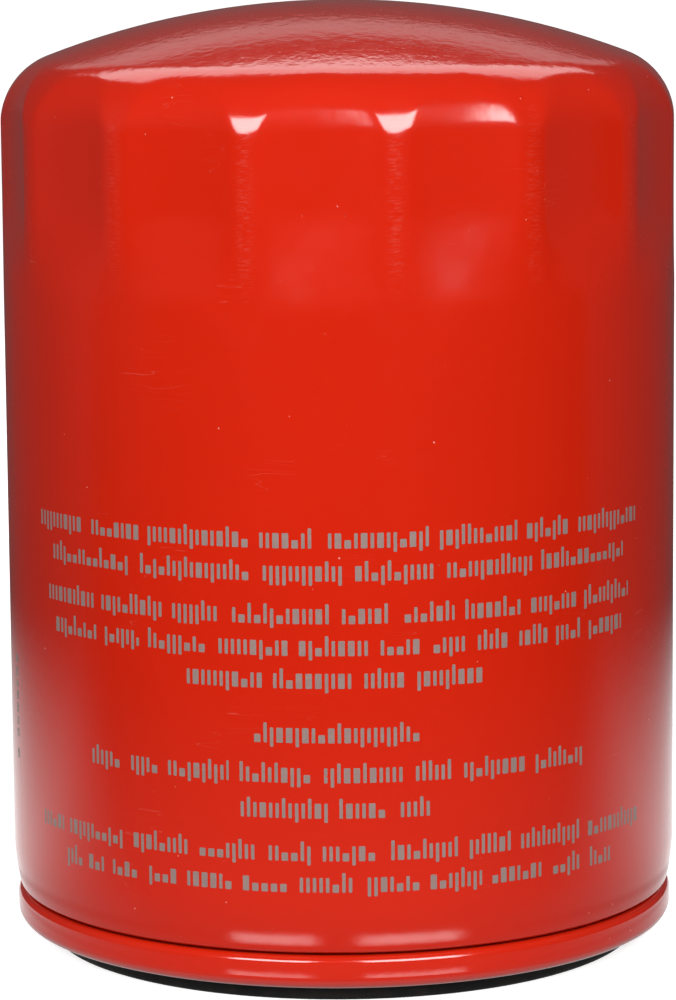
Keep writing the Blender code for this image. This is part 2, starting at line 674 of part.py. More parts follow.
def coiled_wire(points, wire, sides):
    """A closed tube of a wire's radius along a line that runs around Z."""
    bm = bmesh.new()
    rings = []
    for index, point in enumerate(points):
        before = points[max(index - 1, 0)]
        after = points[min(index + 1, len(points) - 1)]
        along = (after - before).normalized()
        side = Vector((point.x, point.y, 0)).normalized()
        side = (side - along * side.dot(along)).normalized()
        up = along.cross(side)
        around = [2 * pi * (corner + 0.5) / sides for corner in range(sides)]
        rings.append([bm.verts.new(point + wire * (side * cos(a) + up * sin(a))) for a in around])
    for lower, upper in zip(rings, rings[1:]):
        for corner in range(sides):
            after = (corner + 1) % sides
            bm.faces.new((lower[corner], lower[after], upper[after], upper[corner]))
    bm.faces.new(rings[0][::-1])
    bm.faces.new(rings[-1])
    return bm


def make_bypass_spring(parent):
    low = CAGE_FLOOR_Z + 0.5 * SEAT_WALL + GAP + BYPASS_WIRE_RADIUS
    high = POPPET_TOP_Z - POPPET_PLATE - GAP - BYPASS_WIRE_RADIUS
    radii = (BYPASS_COIL_RADIUS, BYPASS_COIL_RADIUS)
    line = coil_line(BYPASS_COIL_TURNS, BYPASS_END_TURNS, (low, high), radii, BYPASS_COIL_STEPS)
    bm = coiled_wire(line, BYPASS_WIRE_RADIUS, BYPASS_WIRE_SIDES)
    mesh_object("bypass_spring", bm, "spring_steel", (0, 0, low), parent)


def make_hold_down_spring():
    low = UPPER_CAP_TOP_Z + GAP + HOLD_WIRE_RADIUS
    reach = HOLD_COIL_HIGH_RADIUS + HOLD_WIRE_RADIUS
    dome_inside = DOME_RADIUS - CAN_WALL
    dome_z = CAN_HEIGHT - DOME_RADIUS + sqrt(dome_inside**2 - reach**2)
    high = dome_z - GAP - HOLD_WIRE_RADIUS
    radii = (HOLD_COIL_LOW_RADIUS, HOLD_COIL_HIGH_RADIUS)
    line = coil_line(HOLD_COIL_TURNS, HOLD_END_TURNS, (low, high), radii, HOLD_COIL_STEPS)
    bm = coiled_wire(line, HOLD_WIRE_RADIUS, HOLD_WIRE_SIDES)
    mesh_object("hold_down_spring", bm, "spring_steel", (0, 0, high))


def main():
    clear_scene()
    element = joint_empty("element_slide", LOWER_CAP_Z)
    poppet = joint_empty("bypass_slide", POPPET_TOP_Z)
    drain_valve = joint_empty("drain_valve_slide", VALVE_TOP_Z)
    make_can()
    make_gasket_retainer()
    make_seam_sealant()
    make_gasket()
    make_base_plate()
    make_hold_down_spring()
    make_anti_drain_valve(drain_valve)
    make_end_caps(element)
    make_adhesive_beds(element)
    make_pleated_media(element)
    make_media_seam_clip(element)
    make_centre_tube(element)
    make_bypass_seat(element)
    make_bypass_cage(element)
    make_bypass_spring(element)
    make_bypass_poppet(poppet)


main()
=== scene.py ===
"""Looks of a spin-on oil filter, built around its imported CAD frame. Metres, +Z up, gasket's face at z = 0.

Every CAD node is replaced by a finer piece of the same size in the same place. The can, its retainer ring and
the gasket are what shows from outside; the rest is the filter element and its valves.
"""

import random
from math import atan2, ceil, cos, degrees, hypot, pi, radians, sin, sqrt, tan

import bmesh
import bpy
from mathutils import Euler, Matrix, Vector, noise


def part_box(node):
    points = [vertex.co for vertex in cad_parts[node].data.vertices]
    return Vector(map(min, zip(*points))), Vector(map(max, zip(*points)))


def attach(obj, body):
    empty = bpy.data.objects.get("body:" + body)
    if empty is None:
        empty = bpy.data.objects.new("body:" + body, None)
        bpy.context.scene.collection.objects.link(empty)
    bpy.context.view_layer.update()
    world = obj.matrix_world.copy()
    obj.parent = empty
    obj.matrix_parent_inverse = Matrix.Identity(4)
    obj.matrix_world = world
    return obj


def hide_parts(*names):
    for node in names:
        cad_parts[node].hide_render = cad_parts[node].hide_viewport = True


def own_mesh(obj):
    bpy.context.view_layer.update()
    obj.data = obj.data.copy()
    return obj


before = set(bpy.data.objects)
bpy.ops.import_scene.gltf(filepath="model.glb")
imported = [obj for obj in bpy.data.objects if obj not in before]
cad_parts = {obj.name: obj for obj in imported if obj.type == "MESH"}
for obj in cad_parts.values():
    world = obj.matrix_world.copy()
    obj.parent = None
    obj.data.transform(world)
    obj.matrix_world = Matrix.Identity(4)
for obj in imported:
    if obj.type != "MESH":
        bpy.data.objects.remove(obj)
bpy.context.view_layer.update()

MM = 0.001


def span(node):
    """Outer radius, lowest and highest z of a CAD node."""
    low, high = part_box(node)
    return max(high.x, high.y), low.z, high.z


CAN_REACH, _, CAN_TOP = span("can")
RING_REACH, RING_LOW, _ = span("gasket_retainer")
GASKET_REACH, GASKET_LOW, GASKET_TOP = span("gasket")
PLATE_REACH, PLATE_LOW, HUB_TOP = span("base_plate")
VALVE_REACH, VALVE_LOW, VALVE_TOP = span("anti_drain_valve")
CAP_REACH, LOWER_CAP_Z, _ = span("lower_end_cap")
_, _, UPPER_CAP_Z = span("upper_end_cap")
_, MEDIA_LOW, MEDIA_TOP = span("pleated_media")
TUBE_REACH, TUBE_LOW, TUBE_TOP = span("centre_tube")
SEAL_REACH, SEAL_LOW, SEAL_TOP = span("bypass_seal")
POPPET_REACH, STEM_LOW, BOSS_TOP = span("bypass_poppet")
_, CAGE_LOW, CAGE_TOP = span("bypass_cage")
_, BYPASS_SPRING_LOW, BYPASS_SPRING_TOP = span("bypass_spring")
_, HOLD_LOW, HOLD_TOP = span("hold_down_spring")

# Can
CAN_RADIUS = CAN_REACH - 0.01 * MM
CAN_WALL = 0.45 * MM
CORNER_RADIUS = 10.0 * MM
CORNER_TURN = radians(69.2)
CORNER_CENTRE = CAN_RADIUS - CORNER_RADIUS
DOME_RADIUS = (CORNER_CENTRE + CORNER_RADIUS * cos(CORNER_TURN)) / cos(CORNER_TURN)
CORNER_Z = CAN_TOP - DOME_RADIUS + (DOME_RADIUS - CORNER_RADIUS) * sin(CORNER_TURN)
NECK_RADIUS = CAN_RADIUS - 0.7 * MM
NECK_TOP = 13.5 * MM
NECK_BOTTOM = 9.0 * MM
NECK_LEAN = radians(14)
SEAM_Z = 7.3 * MM

# Wrench flats
FLATS = 15
FIRST_RIDGE = radians(-81.0)
FLAT_PITCH = 2 * pi / FLATS
RUNOUT_LOW = 91.0 * MM
RUNOUT_HIGH = 105.5 * MM
RUNOUT_EASE = 0.25
RIDGE_TOP = CAN_RADIUS - 0.03 * MM
RIDGE_ROUNDING = 9.2 * MM
DISH_RADIUS = 100.0 * MM
CREASE_BLUR = 0.85
TURN_OVER_Z = CORNER_Z + 1.4 * MM
AROUND = FLATS * 36
RUB_HALF_WIDTH = 1.4 * MM
RUB_LOW = 92.0 * MM
RUB_HIGH = 119.0 * MM

# Double seam and gasket channel
LID_WALL = 0.5 * MM
GAP = 0.3 * MM
SEAM_LAYER = LID_WALL + CAN_WALL + 2 * GAP
SEAM_OUTER = RING_REACH - 0.5 * LID_WALL
TOP_FOLD = (SEAM_OUTER - 0.5 * SEAM_LAYER, SEAM_Z - 0.5 * GAP - 0.5 * LID_WALL - 0.5 * SEAM_LAYER)
BOTTOM_FOLD = (SEAM_OUTER - SEAM_LAYER, RING_LOW + 0.5 * LID_WALL + SEAM_LAYER)
GASKET_INNER = 36.4 * MM
FLANGE_INNER = 29.5 * MM
FLANGE_Z = 3.15 * MM

# Thread, 3/4-16 UNF
THREAD_PITCH = 25.4 * MM / 16
THREAD_MAJOR = 9.525 * MM
THREAD_MINOR = 8.7 * MM

# Base plate
ENTRY_RADIUS = 9.7 * MM
HUB_RADIUS = 12.2 * MM
INLETS = 8
INLET_RADIUS = 3.75 * MM
INLET_CIRCLE = 21.0 * MM
WELDS = 8
WELD_CIRCLE = 32.3 * MM

# Filter element and its valve
CAP_WALL = 0.4 * MM
CAP_RIM = 4.0 * MM
CAP_COLLAR = 3.0 * MM
CAP_HOLE = 9.4 * MM
LOWER_CAP_HOLE = 14.0 * MM
PLEATS = 40
PAPER_THICKNESS = 0.8 * MM
FOLD_RADIUS = 0.7 * MM
PLEAT_INNER = 17.6 * MM
PLEAT_OUTER = 39.0 * MM
TUBE_RADIUS = 16.5 * MM
TUBE_WALL = 0.5 * MM
TUBE_HOLE_RADIUS = 2.6 * MM
TUBE_HOLE_ROWS = 7
TUBE_HOLES_AROUND = 6
SEAT_WALL = 0.5 * MM
STEM_RADIUS = 2.0 * MM
CAGE_RADIUS = 11.4 * MM
CAGE_FLANGE = 14.6 * MM

ON_AXIS = 1e-7
EDGE_BULGE = 0.35  # how far a sheet's rolled edge stands out, as a share of its thickness


# ---- meshes


def arc(centre, radius, start, end, steps):
    """Points of an arc in the (r, z) plane; angles in degrees from +r towards +z."""
    points = []
    for step in range(steps + 1):
        angle = radians(start + (end - start) * step / steps)
        points.append((centre[0] + radius * cos(angle), centre[1] + radius * sin(angle)))
    return points


def straight(start, end, steps):
    """Points from start to end, without the start."""
    return [
        (start[0] + (end[0] - start[0]) * k / steps, start[1] + (end[1] - start[1]) * k / steps)
        for k in range(1, steps + 1)
    ]


def sheet_sides(middle, thickness):
    """The two sides of a sheet of even thickness, from its middle line in the (r, z) plane."""
    left, right = [], []
    for index, (r, z) in enumerate(middle):
        before = middle[max(index - 1, 0)]
        after = middle[min(index + 1, len(middle) - 1)]
        into = Vector((r - before[0], z - before[1]))
        out = Vector((after[0] - r, after[1] - z))
        into = into if into.length > 0 else out
        out = out if out.length > 0 else into
        into.normalize()
        out.normalize()
        along = (into + out).normalized()
        reach = 0.5 * thickness / max(along.dot(into), 0.5)
        normal = Vector((-along.y, along.x)) * reach
        on_axis = r == 0
        left.append((0.0 if on_axis else r + normal.x, z + normal.y))
        right.append((0.0 if on_axis else r - normal.x, z - normal.y))
    return left, right


def rolled_edge(side, other, thickness):
    """A rounded end between the last points of a sheet's two sides."""
    a, b = Vector(side[-1]), Vector(other[-1])
    middle = (a + b) / 2
    half = (a - b) / 2
    out = (Vector(side[-1]) - Vector(side[-2])).normalized() * EDGE_BULGE * thickness
    turns = (pi / 6, pi / 3, pi / 2, 2 * pi / 3, 5 * pi / 6)
    return [tuple(middle + half * cos(t) + out * sin(t)) for t in turns]


def sheet(middle, thickness):
    """Closed outline of a sheet with rounded edges."""
    left, right = sheet_sides(middle, thickness)
    outline = left + rolled_edge(left, right, thickness) + right[::-1]
    if middle[0][0] > 0:
        outline += rolled_edge(right[::-1], left[::-1], thickness)
    return outline


def softened(outline, radius, steps=4):
    """A closed outline with its corners rounded, except corners on the axis."""
    made = []
    count = len(outline)
    for index, corner in enumerate(outline):
        here = Vector(corner)
        before, after = Vector(outline[index - 1]), Vector(outline[(index + 1) % count])
        if corner[0] <= 0:
            made.append(corner)
            continue
        back, on = before - here, after - here
        reach = min(radius, 0.4 * back.length, 0.4 * on.length)
        start, end = here + back.normalized() * reach, here + on.normalized() * reach
        for k in range(steps + 1):
            t = k / steps
            made.append(tuple((1 - t) ** 2 * start + 2 * t * (1 - t) * here + t * t * end))
    return made


def oblong(inner, outer, low, high, soft, steps=4):
    """Closed outline of a ring with a rectangular section and rounded corners."""
    return softened([(inner, low), (outer, low), (outer, high), (inner, high)], soft, steps)


def turned(outline, segments, press=None):
    """Vertices and faces of a closed (r, z) outline turned about Z; press moves its points."""
    verts, faces, rows = [], [], []
    for r, z in outline:
        if r < ON_AXIS:
            rows.append([len(verts)] * segments)
            verts.append((0.0, 0.0, z))
            continue
        rows.append(range(len(verts), len(verts) + segments))
        for step in range(segments):
            heading = 2 * pi * step / segments
            r_here, z_here = press(r, z, heading) if press else (r, z)
            verts.append((r_here * cos(heading), r_here * sin(heading), z_here))
    for lower, upper in zip(rows, rows[1:] + rows[:1]):
        for step in range(segments):
            after = (step + 1) % segments
            corners = []
            for corner in (lower[step], lower[after], upper[after], upper[step]):
                if corner not in corners:
                    corners.append(corner)
            if len(corners) > 2:
                faces.append(corners)
    return verts, faces


def piece(name, geometry, material, body, node=None, sharp=40):
    """A mesh object that rides on a body, and stands for a CAD node if one is named."""
    verts, faces = geometry
    mesh = bpy.data.meshes.new(name)
    mesh.from_pydata(verts, [], faces)
    bm = bmesh.new()
    bm.from_mesh(mesh)
    bmesh.ops.recalc_face_normals(bm, faces=bm.faces)
    bm.to_mesh(mesh)
    bm.free()
    mesh.shade_smooth()
    mesh.set_sharp_from_angle(angle=radians(sharp))
    mesh.materials.append(material)
    thing = bpy.data.objects.new(name, mesh)
    bpy.context.scene.collection.objects.link(thing)
    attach(thing, body)
    if node:
        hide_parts(node)
    return thing


def cut(thing, cutters):
    """Cuts holes with the EXACT solver and applies the result."""
    bm = bmesh.new()
    for verts, faces in cutters:
        made = [bm.verts.new(v) for v in verts]
        for face in faces:
            bm.faces.new([made[i] for i in face])
    bmesh.ops.recalc_face_normals(bm, faces=bm.faces)
    mesh = bpy.data.meshes.new("cutter")
    bm.to_mesh(mesh)
    bm.free()
    cutter = bpy.data.objects.new("cutter", mesh)
    bpy.context.scene.collection.objects.link(cutter)
    boolean = thing.modifiers.new("cut", "BOOLEAN")
    boolean.operation = "DIFFERENCE"
    boolean.solver = "EXACT"
    boolean.object = cutter
    evaluated = thing.evaluated_get(bpy.context.evaluated_depsgraph_get())
    result = bpy.data.meshes.new_from_object(evaluated)
    thing.modifiers.clear()
    thing.data = result
    bpy.data.objects.remove(cutter)
    result.shade_smooth()
    result.set_sharp_from_angle(angle=radians(35))


def bridged(rows, around, joined=False):
    """Faces between rows of points, each row a loop; the ends are capped unless first and last row join."""
    faces = [] if joined else [list(range(around)), list(range((rows - 1) * around, rows * around))]
    for row in range(rows if joined else rows - 1):
        a, b = row * around, (row + 1) % rows * around
        for index in range(around):
            after = (index + 1) % around
            faces.append([a + index, a + after, b + after, b + index])
    return faces


def peg(radius, low, high, x=0.0, y=0.0, steps=28):
    """A closed upright cylinder, as a cutter."""
    verts = []
    for z in (low, high):
        for step in range(steps):
            angle = 2 * pi * step / steps
            verts.append((x + radius * cos(angle), y + radius * sin(angle), z))
    return verts, bridged(2, steps)


def transformed(geometry, matrix):
    verts, faces = geometry
    return [tuple(matrix @ Vector(v)) for v in verts], faces


def tube_along(points, radius, sides=16):
    """A closed round wire along points, its ends ground flat."""
    verts = []
    for index, point in enumerate(points):
        along = (points[min(index + 1, len(points) - 1)] - points[max(index - 1, 0)]).normalized()
        side = Vector((point.x, point.y, 0)).normalized()
        side = (side - along * side.dot(along)).normalized()
        up = along.cross(side)
        for corner in range(sides):
            angle = 2 * pi * corner / sides
            verts.append(tuple(point + radius * (side * cos(angle) + up * sin(angle))))
    return verts, bridged(len(points), sides)


def coil_points(turns, heights, radii, flat_turns, steps_around=40):
    """Points along a helix with flat end turns, its radius changing evenly from end to end."""
    low_z, high_z = heights
    low_radius, high_radius = radii
    steps = ceil(turns * steps_around)
    points = []
    for step in range(steps + 1):
        turned_so_far = turns * step / steps
        risen = min(max((turned_so_far - flat_turns) / (turns - 2 * flat_turns), 0.0), 1.0)
        risen = risen + 0.04 * sin(2 * pi * risen) * risen * (1 - risen)
        z = low_z + (high_z - low_z) * risen
        radius = low_radius + (high_radius - low_radius) * turned_so_far / turns
        heading = 2 * pi * turned_so_far
        points.append(Vector((radius * cos(heading), radius * sin(heading), z)))
    return points


# ---- materials


def node(tree, kind, inputs=None, **settings):
    """A shader node. Inputs are sockets to link or values to set."""
    made = tree.nodes.new("ShaderNode" + kind)
    for key, value in settings.items():
        setattr(made, key, value)
    for key, value in (inputs or {}).items():
        if isinstance(value, bpy.types.NodeSocket):
            tree.links.new(value, made.inputs[key])
        else:
            made.inputs[key].default_value = value
    return made


def calc(tree, operation, a, b=0.0, c=0.0, clamp=False):
    return node(tree, "Math", {0: a, 1: b, 2: c}, operation=operation, use_clamp=clamp).outputs[0]


def ramp(tree, value, low, high, to_low=0.0, to_high=1.0):
    return node(
        tree,
        "MapRange",
        {"Value": value, "From Min": low, "From Max": high, "To Min": to_low, "To Max": to_high},
        interpolation_type="SMOOTHSTEP",
    ).outputs[0]


def speckle(tree, where, scale, detail=2.0, roughness=0.5, distortion=0.0):
    inputs = {"Vector": where, "Scale": scale, "Detail": detail, "Roughness": roughness}
    inputs["Distortion"] = distortion
    return node(tree, "TexNoise", inputs).outputs["Fac"]


def blend(tree, share, a, b):
    made = node(tree, "Mix", {0: share, 6: a, 7: b}, data_type="RGBA")
    return made.outputs[2]


def begin(name):
    """A material with an empty Principled shader, and its object coordinates in millimetres."""
    made = bpy.data.materials.new(name)
    made.use_nodes = True
    tree = made.node_tree
    shader = tree.nodes["Principled BSDF"]
    spot = node(tree, "TexCoord").outputs["Object"]
    where = node(tree, "VectorMath", {0: spot, 3: 1000.0}, operation="SCALE").outputs[0]
    return made, tree, shader, where


def stretched(tree, where, scale, turn=(0.0, 0.0, 0.0)):
    return node(tree, "Mapping", {"Vector": where, "Scale": scale, "Rotation": turn}).outputs[0]


def bump(tree, shader, layers):
    """Stacks bumps on the shader's normal; each layer is a height socket and its distance in metres."""
    normal = None
    for height, distance in layers:
        inputs = {"Height": height, "Distance": distance, "Strength": 1.0}
        if normal:
            inputs["Normal"] = normal
        normal = node(tree, "Bump", inputs).outputs[0]
    tree.links.new(normal, shader.inputs["Normal"])


def grains(tree, where, scale, size, share):
    """Round specks: 1 at the middle of a few Voronoi cells, 0 elsewhere."""
    cells = node(tree, "TexVoronoi", {"Vector": where, "Scale": scale})
    near = ramp(tree, cells.outputs["Distance"], size, size * 0.35)
    chosen = node(tree, "SeparateColor", {0: cells.outputs["Color"]}).outputs[0]
    return calc(tree, "MULTIPLY", near, calc(tree, "GREATER_THAN", chosen, 1 - share))


def hairlines(tree, where, scale, turn, width, rarity):
    """Fine scratches: contour lines of a stretched noise, kept in a few patches only."""
    line = speckle(tree, stretched(tree, where, scale, turn), 1.0, 1.0)
    thin = ramp(tree, calc(tree, "ABSOLUTE", calc(tree, "SUBTRACT", line, 0.5)), width, 0.0)
    patch = ramp(tree, speckle(tree, where, 0.09, 2.0), rarity, rarity + 0.06)
    return calc(tree, "MULTIPLY", thin, patch)


def red_paint(name, rub=False):
    """Gloss red enamel with orange peel, dust, a few hair scratches and, on the can, rubbed ridges."""
    made, tree, shader, where = begin(name)
    mottle = speckle(tree, where, 0.06, 3.0)
    base = blend(tree, mottle, (0.450, 0.0118, 0.0024, 1), (0.484, 0.0134, 0.0030, 1))
    dust = grains(tree, where, 0.33, 0.05, 0.28)
    fine_dust = grains(tree, where, 1.1, 0.055, 0.10)
    fine_dust = calc(tree, "MULTIPLY", fine_dust, 0.35)
    specks = calc(tree, "MAXIMUM", calc(tree, "MULTIPLY", dust, 0.55), fine_dust)
    lines = hairlines(tree, where, (0.07, 0.07, 0.9), (0.12, 0.08, 0.0), 0.005, 0.60)
    scratch = calc(tree, "MULTIPLY", lines, 0.09)
    pale = calc(tree, "MAXIMUM", specks, scratch)
    rough = ramp(tree, speckle(tree, where, 0.35, 3.0), 0.3, 0.7, 0.12, 0.145)
    height = node(tree, "SeparateXYZ", {0: where}).outputs[2]
    peel = ramp(tree, height, 117.0, 124.0, 0.20, 1.0)
    waves = calc(tree, "MULTIPLY", speckle(tree, where, 0.7, 2.0, 0.55), peel)
    ripples = calc(tree, "MULTIPLY", speckle(tree, where, 2.3, 2.0), peel)
    heights = [(waves, 5e-5), (ripples, 9e-6)]
    if rub:
        worn = node(tree, "Attribute", attribute_name="rub").outputs["Fac"]
        grit = speckle(tree, stretched(tree, where, (0.8, 0.8, 4.6)), 1.0, 3.0, 0.65)
        worn = calc(tree, "MULTIPLY", worn, ramp(tree, grit, 0.48, 0.64))
        pale = calc(tree, "MAXIMUM", pale, calc(tree, "MULTIPLY", worn, 0.032))
        rough = calc(tree, "ADD", rough, calc(tree, "MULTIPLY", worn, 0.05))
        heights.append((calc(tree, "MULTIPLY", worn, grit), 3e-6))
    rough = calc(tree, "ADD", rough, calc(tree, "MULTIPLY", pale, 0.4))
    tree.links.new(blend(tree, pale, base, (0.74, 0.34, 0.27, 1)), shader.inputs["Base Color"])
    tree.links.new(rough, shader.inputs["Roughness"])
    shader.inputs["IOR"].default_value = 1.6
    heights.append((specks, 3e-5))
    bump(tree, shader, heights)
    return made


def ink(name):
    """Grey screen-print ink with pinholes that let the red through."""
    made, tree, shader, where = begin(name)
    holes = ramp(tree, speckle(tree, where, 2.6, 3.0, 0.6), 0.36, 0.26)
    cloud = speckle(tree, where, 0.5, 2.0)
    tone = blend(tree, cloud, (0.200, 0.135, 0.122, 1), (0.240, 0.165, 0.150, 1))
    tree.links.new(blend(tree, holes, tone, (0.50, 0.04, 0.02, 1)), shader.inputs["Base Color"])
    tree.links.new(ramp(tree, speckle(tree, where, 1.4), 0.3, 0.7, 0.28, 0.45), shader.inputs["Roughness"])
    waves = speckle(tree, where, 0.62, 2.0, 0.55)
    bump(tree, shader, [(speckle(tree, where, 3.5, 3.0), 1.2e-5), (waves, 5e-5)])
    return made


def rubber(name, dark, light, rough, grain=2.2, shine=0.5):
    """Moulded rubber: fine pebble, paler bloom and a little dust."""
    made, tree, shader, where = begin(name)
    pebble = speckle(tree, where, grain, 4.0, 0.65)
    bloom = ramp(tree, speckle(tree, where, 0.25, 4.0, 0.6), 0.35, 0.75)
    tone = blend(tree, calc(tree, "MULTIPLY", bloom, pebble), (*dark, 1), (*light, 1))
    dust = calc(tree, "MULTIPLY", grains(tree, where, 1.6, 0.09, 0.16), 0.35)
    tree.links.new(blend(tree, dust, tone, (0.30, 0.27, 0.24, 1)), shader.inputs["Base Color"])
    tree.links.new(ramp(tree, pebble, 0.3, 0.7, rough - 0.1, rough + 0.1), shader.inputs["Roughness"])
    shader.inputs["Specular IOR Level"].default_value = shine
    bump(tree, shader, [(pebble, 6e-5), (speckle(tree, where, 7.0, 2.0), 1.5e-5)])
    return made


def metal(name, tint, rough, grain=(0.6, 0.6, 9.0), stain=(0.30, 0.25, 0.18), stained=0.25):
    """Plated or rolled sheet metal: directional grain, spangle and light staining."""
    made, tree, shader, where = begin(name)
    brushed = speckle(tree, stretched(tree, where, grain), 1.0, 4.0, 0.6)
    cloud = speckle(tree, where, 0.12, 4.0, 0.6)
    dull = tuple(channel * 0.72 for channel in tint)
    tone = blend(tree, brushed, (*dull, 1), (*tint, 1))
    spots = calc(tree, "MULTIPLY", ramp(tree, cloud, 0.52, 0.72), stained)
    tree.links.new(blend(tree, spots, tone, (*stain, 1)), shader.inputs["Base Color"])
    shader.inputs["Metallic"].default_value = 1.0
    uneven = calc(tree, "ADD", calc(tree, "MULTIPLY", brushed, 0.22), calc(tree, "MULTIPLY", cloud, 0.12))
    tree.links.new(calc(tree, "ADD", uneven, rough - 0.17), shader.inputs["Roughness"])
    bump(tree, shader, [(brushed, 1.2e-5), (speckle(tree, where, 0.5, 3.0), 3e-5)])
    return made


def paper(name):
    """Resin-coated filter paper: felted fibres, blotchy resin and an embossed rib."""
    made, tree, shader, where = begin(name)
    fibres = speckle(tree, stretched(tree, where, (2.2, 2.2, 6.0)), 1.0, 6.0, 0.75, 0.6)
    cross = speckle(tree, stretched(tree, where, (6.0, 6.0, 1.8)), 1.0, 5.0, 0.7, 0.4)
    felt = calc(tree, "MULTIPLY", calc(tree, "ADD", fibres, cross), 0.5)
    resin = ramp(tree, speckle(tree, where, 0.08, 4.0, 0.6), 0.3, 0.7)
    tone = blend(tree, felt, (0.52, 0.36, 0.14, 1), (0.86, 0.68, 0.36, 1))
    soaked = calc(tree, "MULTIPLY", resin, 0.35)
    tree.links.new(blend(tree, soaked, tone, (0.60, 0.38, 0.12, 1)), shader.inputs["Base Color"])
    tree.links.new(ramp(tree, felt, 0.3, 0.7, 0.78, 0.95), shader.inputs["Roughness"])
    rib = node(tree, "TexWave", {"Vector": where, "Scale": 0.25}, bands_direction="Z").outputs["Fac"]
    bump(tree, shader, [(rib, 5e-5), (felt, 8e-5)])
    return made


def resin(name, dark, light, rough, sheen=0.0):
    """Poured or moulded plastic: blotches, small bubbles with painted shade in their pits, and a soft gloss.
    """
    made, tree, shader, where = begin(name)
    cloud = speckle(tree, where, 0.3, 4.0, 0.6)
    bubbles = grains(tree, where, 0.9, 0.16, 0.12)
    tone = blend(tree, cloud, (*dark, 1), (*light, 1))
    # painted shade: the bubbles' pits are drawn darker
    painted_pit_shade = calc(tree, "MULTIPLY", bubbles, 0.4)
    shade = (*[channel * 0.5 for channel in dark], 1)
    tree.links.new(blend(tree, painted_pit_shade, tone, shade), shader.inputs["Base Color"])
    tree.links.new(ramp(tree, cloud, 0.3, 0.7, rough - 0.08, rough + 0.12), shader.inputs["Roughness"])
    shader.inputs["Coat Weight"].default_value = sheen
    bump(tree, shader, [(speckle(tree, where, 0.8, 3.0), 9e-5), (bubbles, -6e-5)])
    return made


PAINT = red_paint("can_enamel", rub=True)
RING_PAINT = red_paint("ring_enamel")
INK = ink("print_ink")
GASKET_RUBBER = rubber("gasket_rubber", (0.004, 0.004, 0.004), (0.024, 0.021, 0.019), 0.62, shine=0.15)
SEAL_RUBBER = rubber("seal_rubber", (0.010, 0.010, 0.011), (0.030, 0.030, 0.032), 0.55)
VALVE_RUBBER = rubber("valve_rubber", (0.075, 0.024, 0.014), (0.15, 0.055, 0.035), 0.55, 1.5)
PLATED = metal("plated_steel", (0.62, 0.60, 0.55), 0.38)
TIN = metal("tin_plate", (0.70, 0.69, 0.65), 0.30, (0.3, 6.0, 0.3), stained=0.12)
SPRING_STEEL = metal("spring_steel", (0.32, 0.32, 0.33), 0.34, (5.0, 5.0, 1.0), (0.16, 0.10, 0.06), 0.35)
PAPER = paper("filter_paper")
PLASTISOL = resin("plastisol", (0.42, 0.10, 0.03), (0.62, 0.20, 0.07), 0.40, 0.3)
COMPOUND = resin("sealing_compound", (0.32, 0.30, 0.26), (0.50, 0.48, 0.43), 0.58)
NYLON = resin("nylon", (0.028, 0.028, 0.032), (0.055, 0.055, 0.06), 0.42)


# ---- can and print


def smooth_min(a, b, width):
    overlap = max(width - abs(a - b), 0.0) / width
    return min(a, b) - overlap * overlap * width / 4


def flat_profile():
    """Distance of the ridges' centres and of a flat's middle from the axis, and where the two arcs meet."""
    half = 0.5 * FLAT_PITCH
    centre = RIDGE_TOP - RIDGE_ROUNDING
    reach = sqrt((DISH_RADIUS + RIDGE_ROUNDING) ** 2 - (centre * sin(half)) ** 2)
    middle = centre * cos(half) + reach - DISH_RADIUS
    share = RIDGE_ROUNDING / (DISH_RADIUS + RIDGE_ROUNDING)
    across = centre * sin(half) * (1 - share)
    along = centre * cos(half) + reach * share
    return centre, middle, atan2(across, along)


RIDGE_CENTRE, FLAT_MIDDLE, FLAT_MEETS_RIDGE = flat_profile()


def flat_limit(heading):
    """Radius of the pressed flats at a heading: slightly dished flats between rounded ridges."""
    from_flat = abs((heading - FIRST_RIDGE) % FLAT_PITCH - 0.5 * FLAT_PITCH)
    if from_flat < FLAT_MEETS_RIDGE:
        dish = FLAT_MIDDLE + DISH_RADIUS
        return dish * cos(from_flat) - sqrt(DISH_RADIUS**2 - (dish * sin(from_flat)) ** 2)
    from_ridge = 0.5 * FLAT_PITCH - from_flat
    return RIDGE_CENTRE * cos(from_ridge) + sqrt(RIDGE_ROUNDING**2 - (RIDGE_CENTRE * sin(from_ridge)) ** 2)


def run_out(z):
    """Share of the flats' full depth at a height: an even slope with eased ends."""
    t = min(max((z - RUNOUT_LOW) / (RUNOUT_HIGH - RUNOUT_LOW), 0.0), 1.0)
    if t < RUNOUT_EASE:
        return t * t / (2 * RUNOUT_EASE * (1 - RUNOUT_EASE))
    if t > 1 - RUNOUT_EASE:
        return 1 - (1 - t) ** 2 / (2 * RUNOUT_EASE * (1 - RUNOUT_EASE))
    return (t - 0.5 * RUNOUT_EASE) / (1 - RUNOUT_EASE)


def unevenness(r, z, heading):
    """The slight waviness of a drawn and painted shell."""
    spot = Vector((cos(heading), sin(heading), 0)) * r + Vector((0, 0, z))
    return 0.010 * MM * noise.noise(spot / (11 * MM)) + 0.003 * MM * noise.noise(spot / (4 * MM))


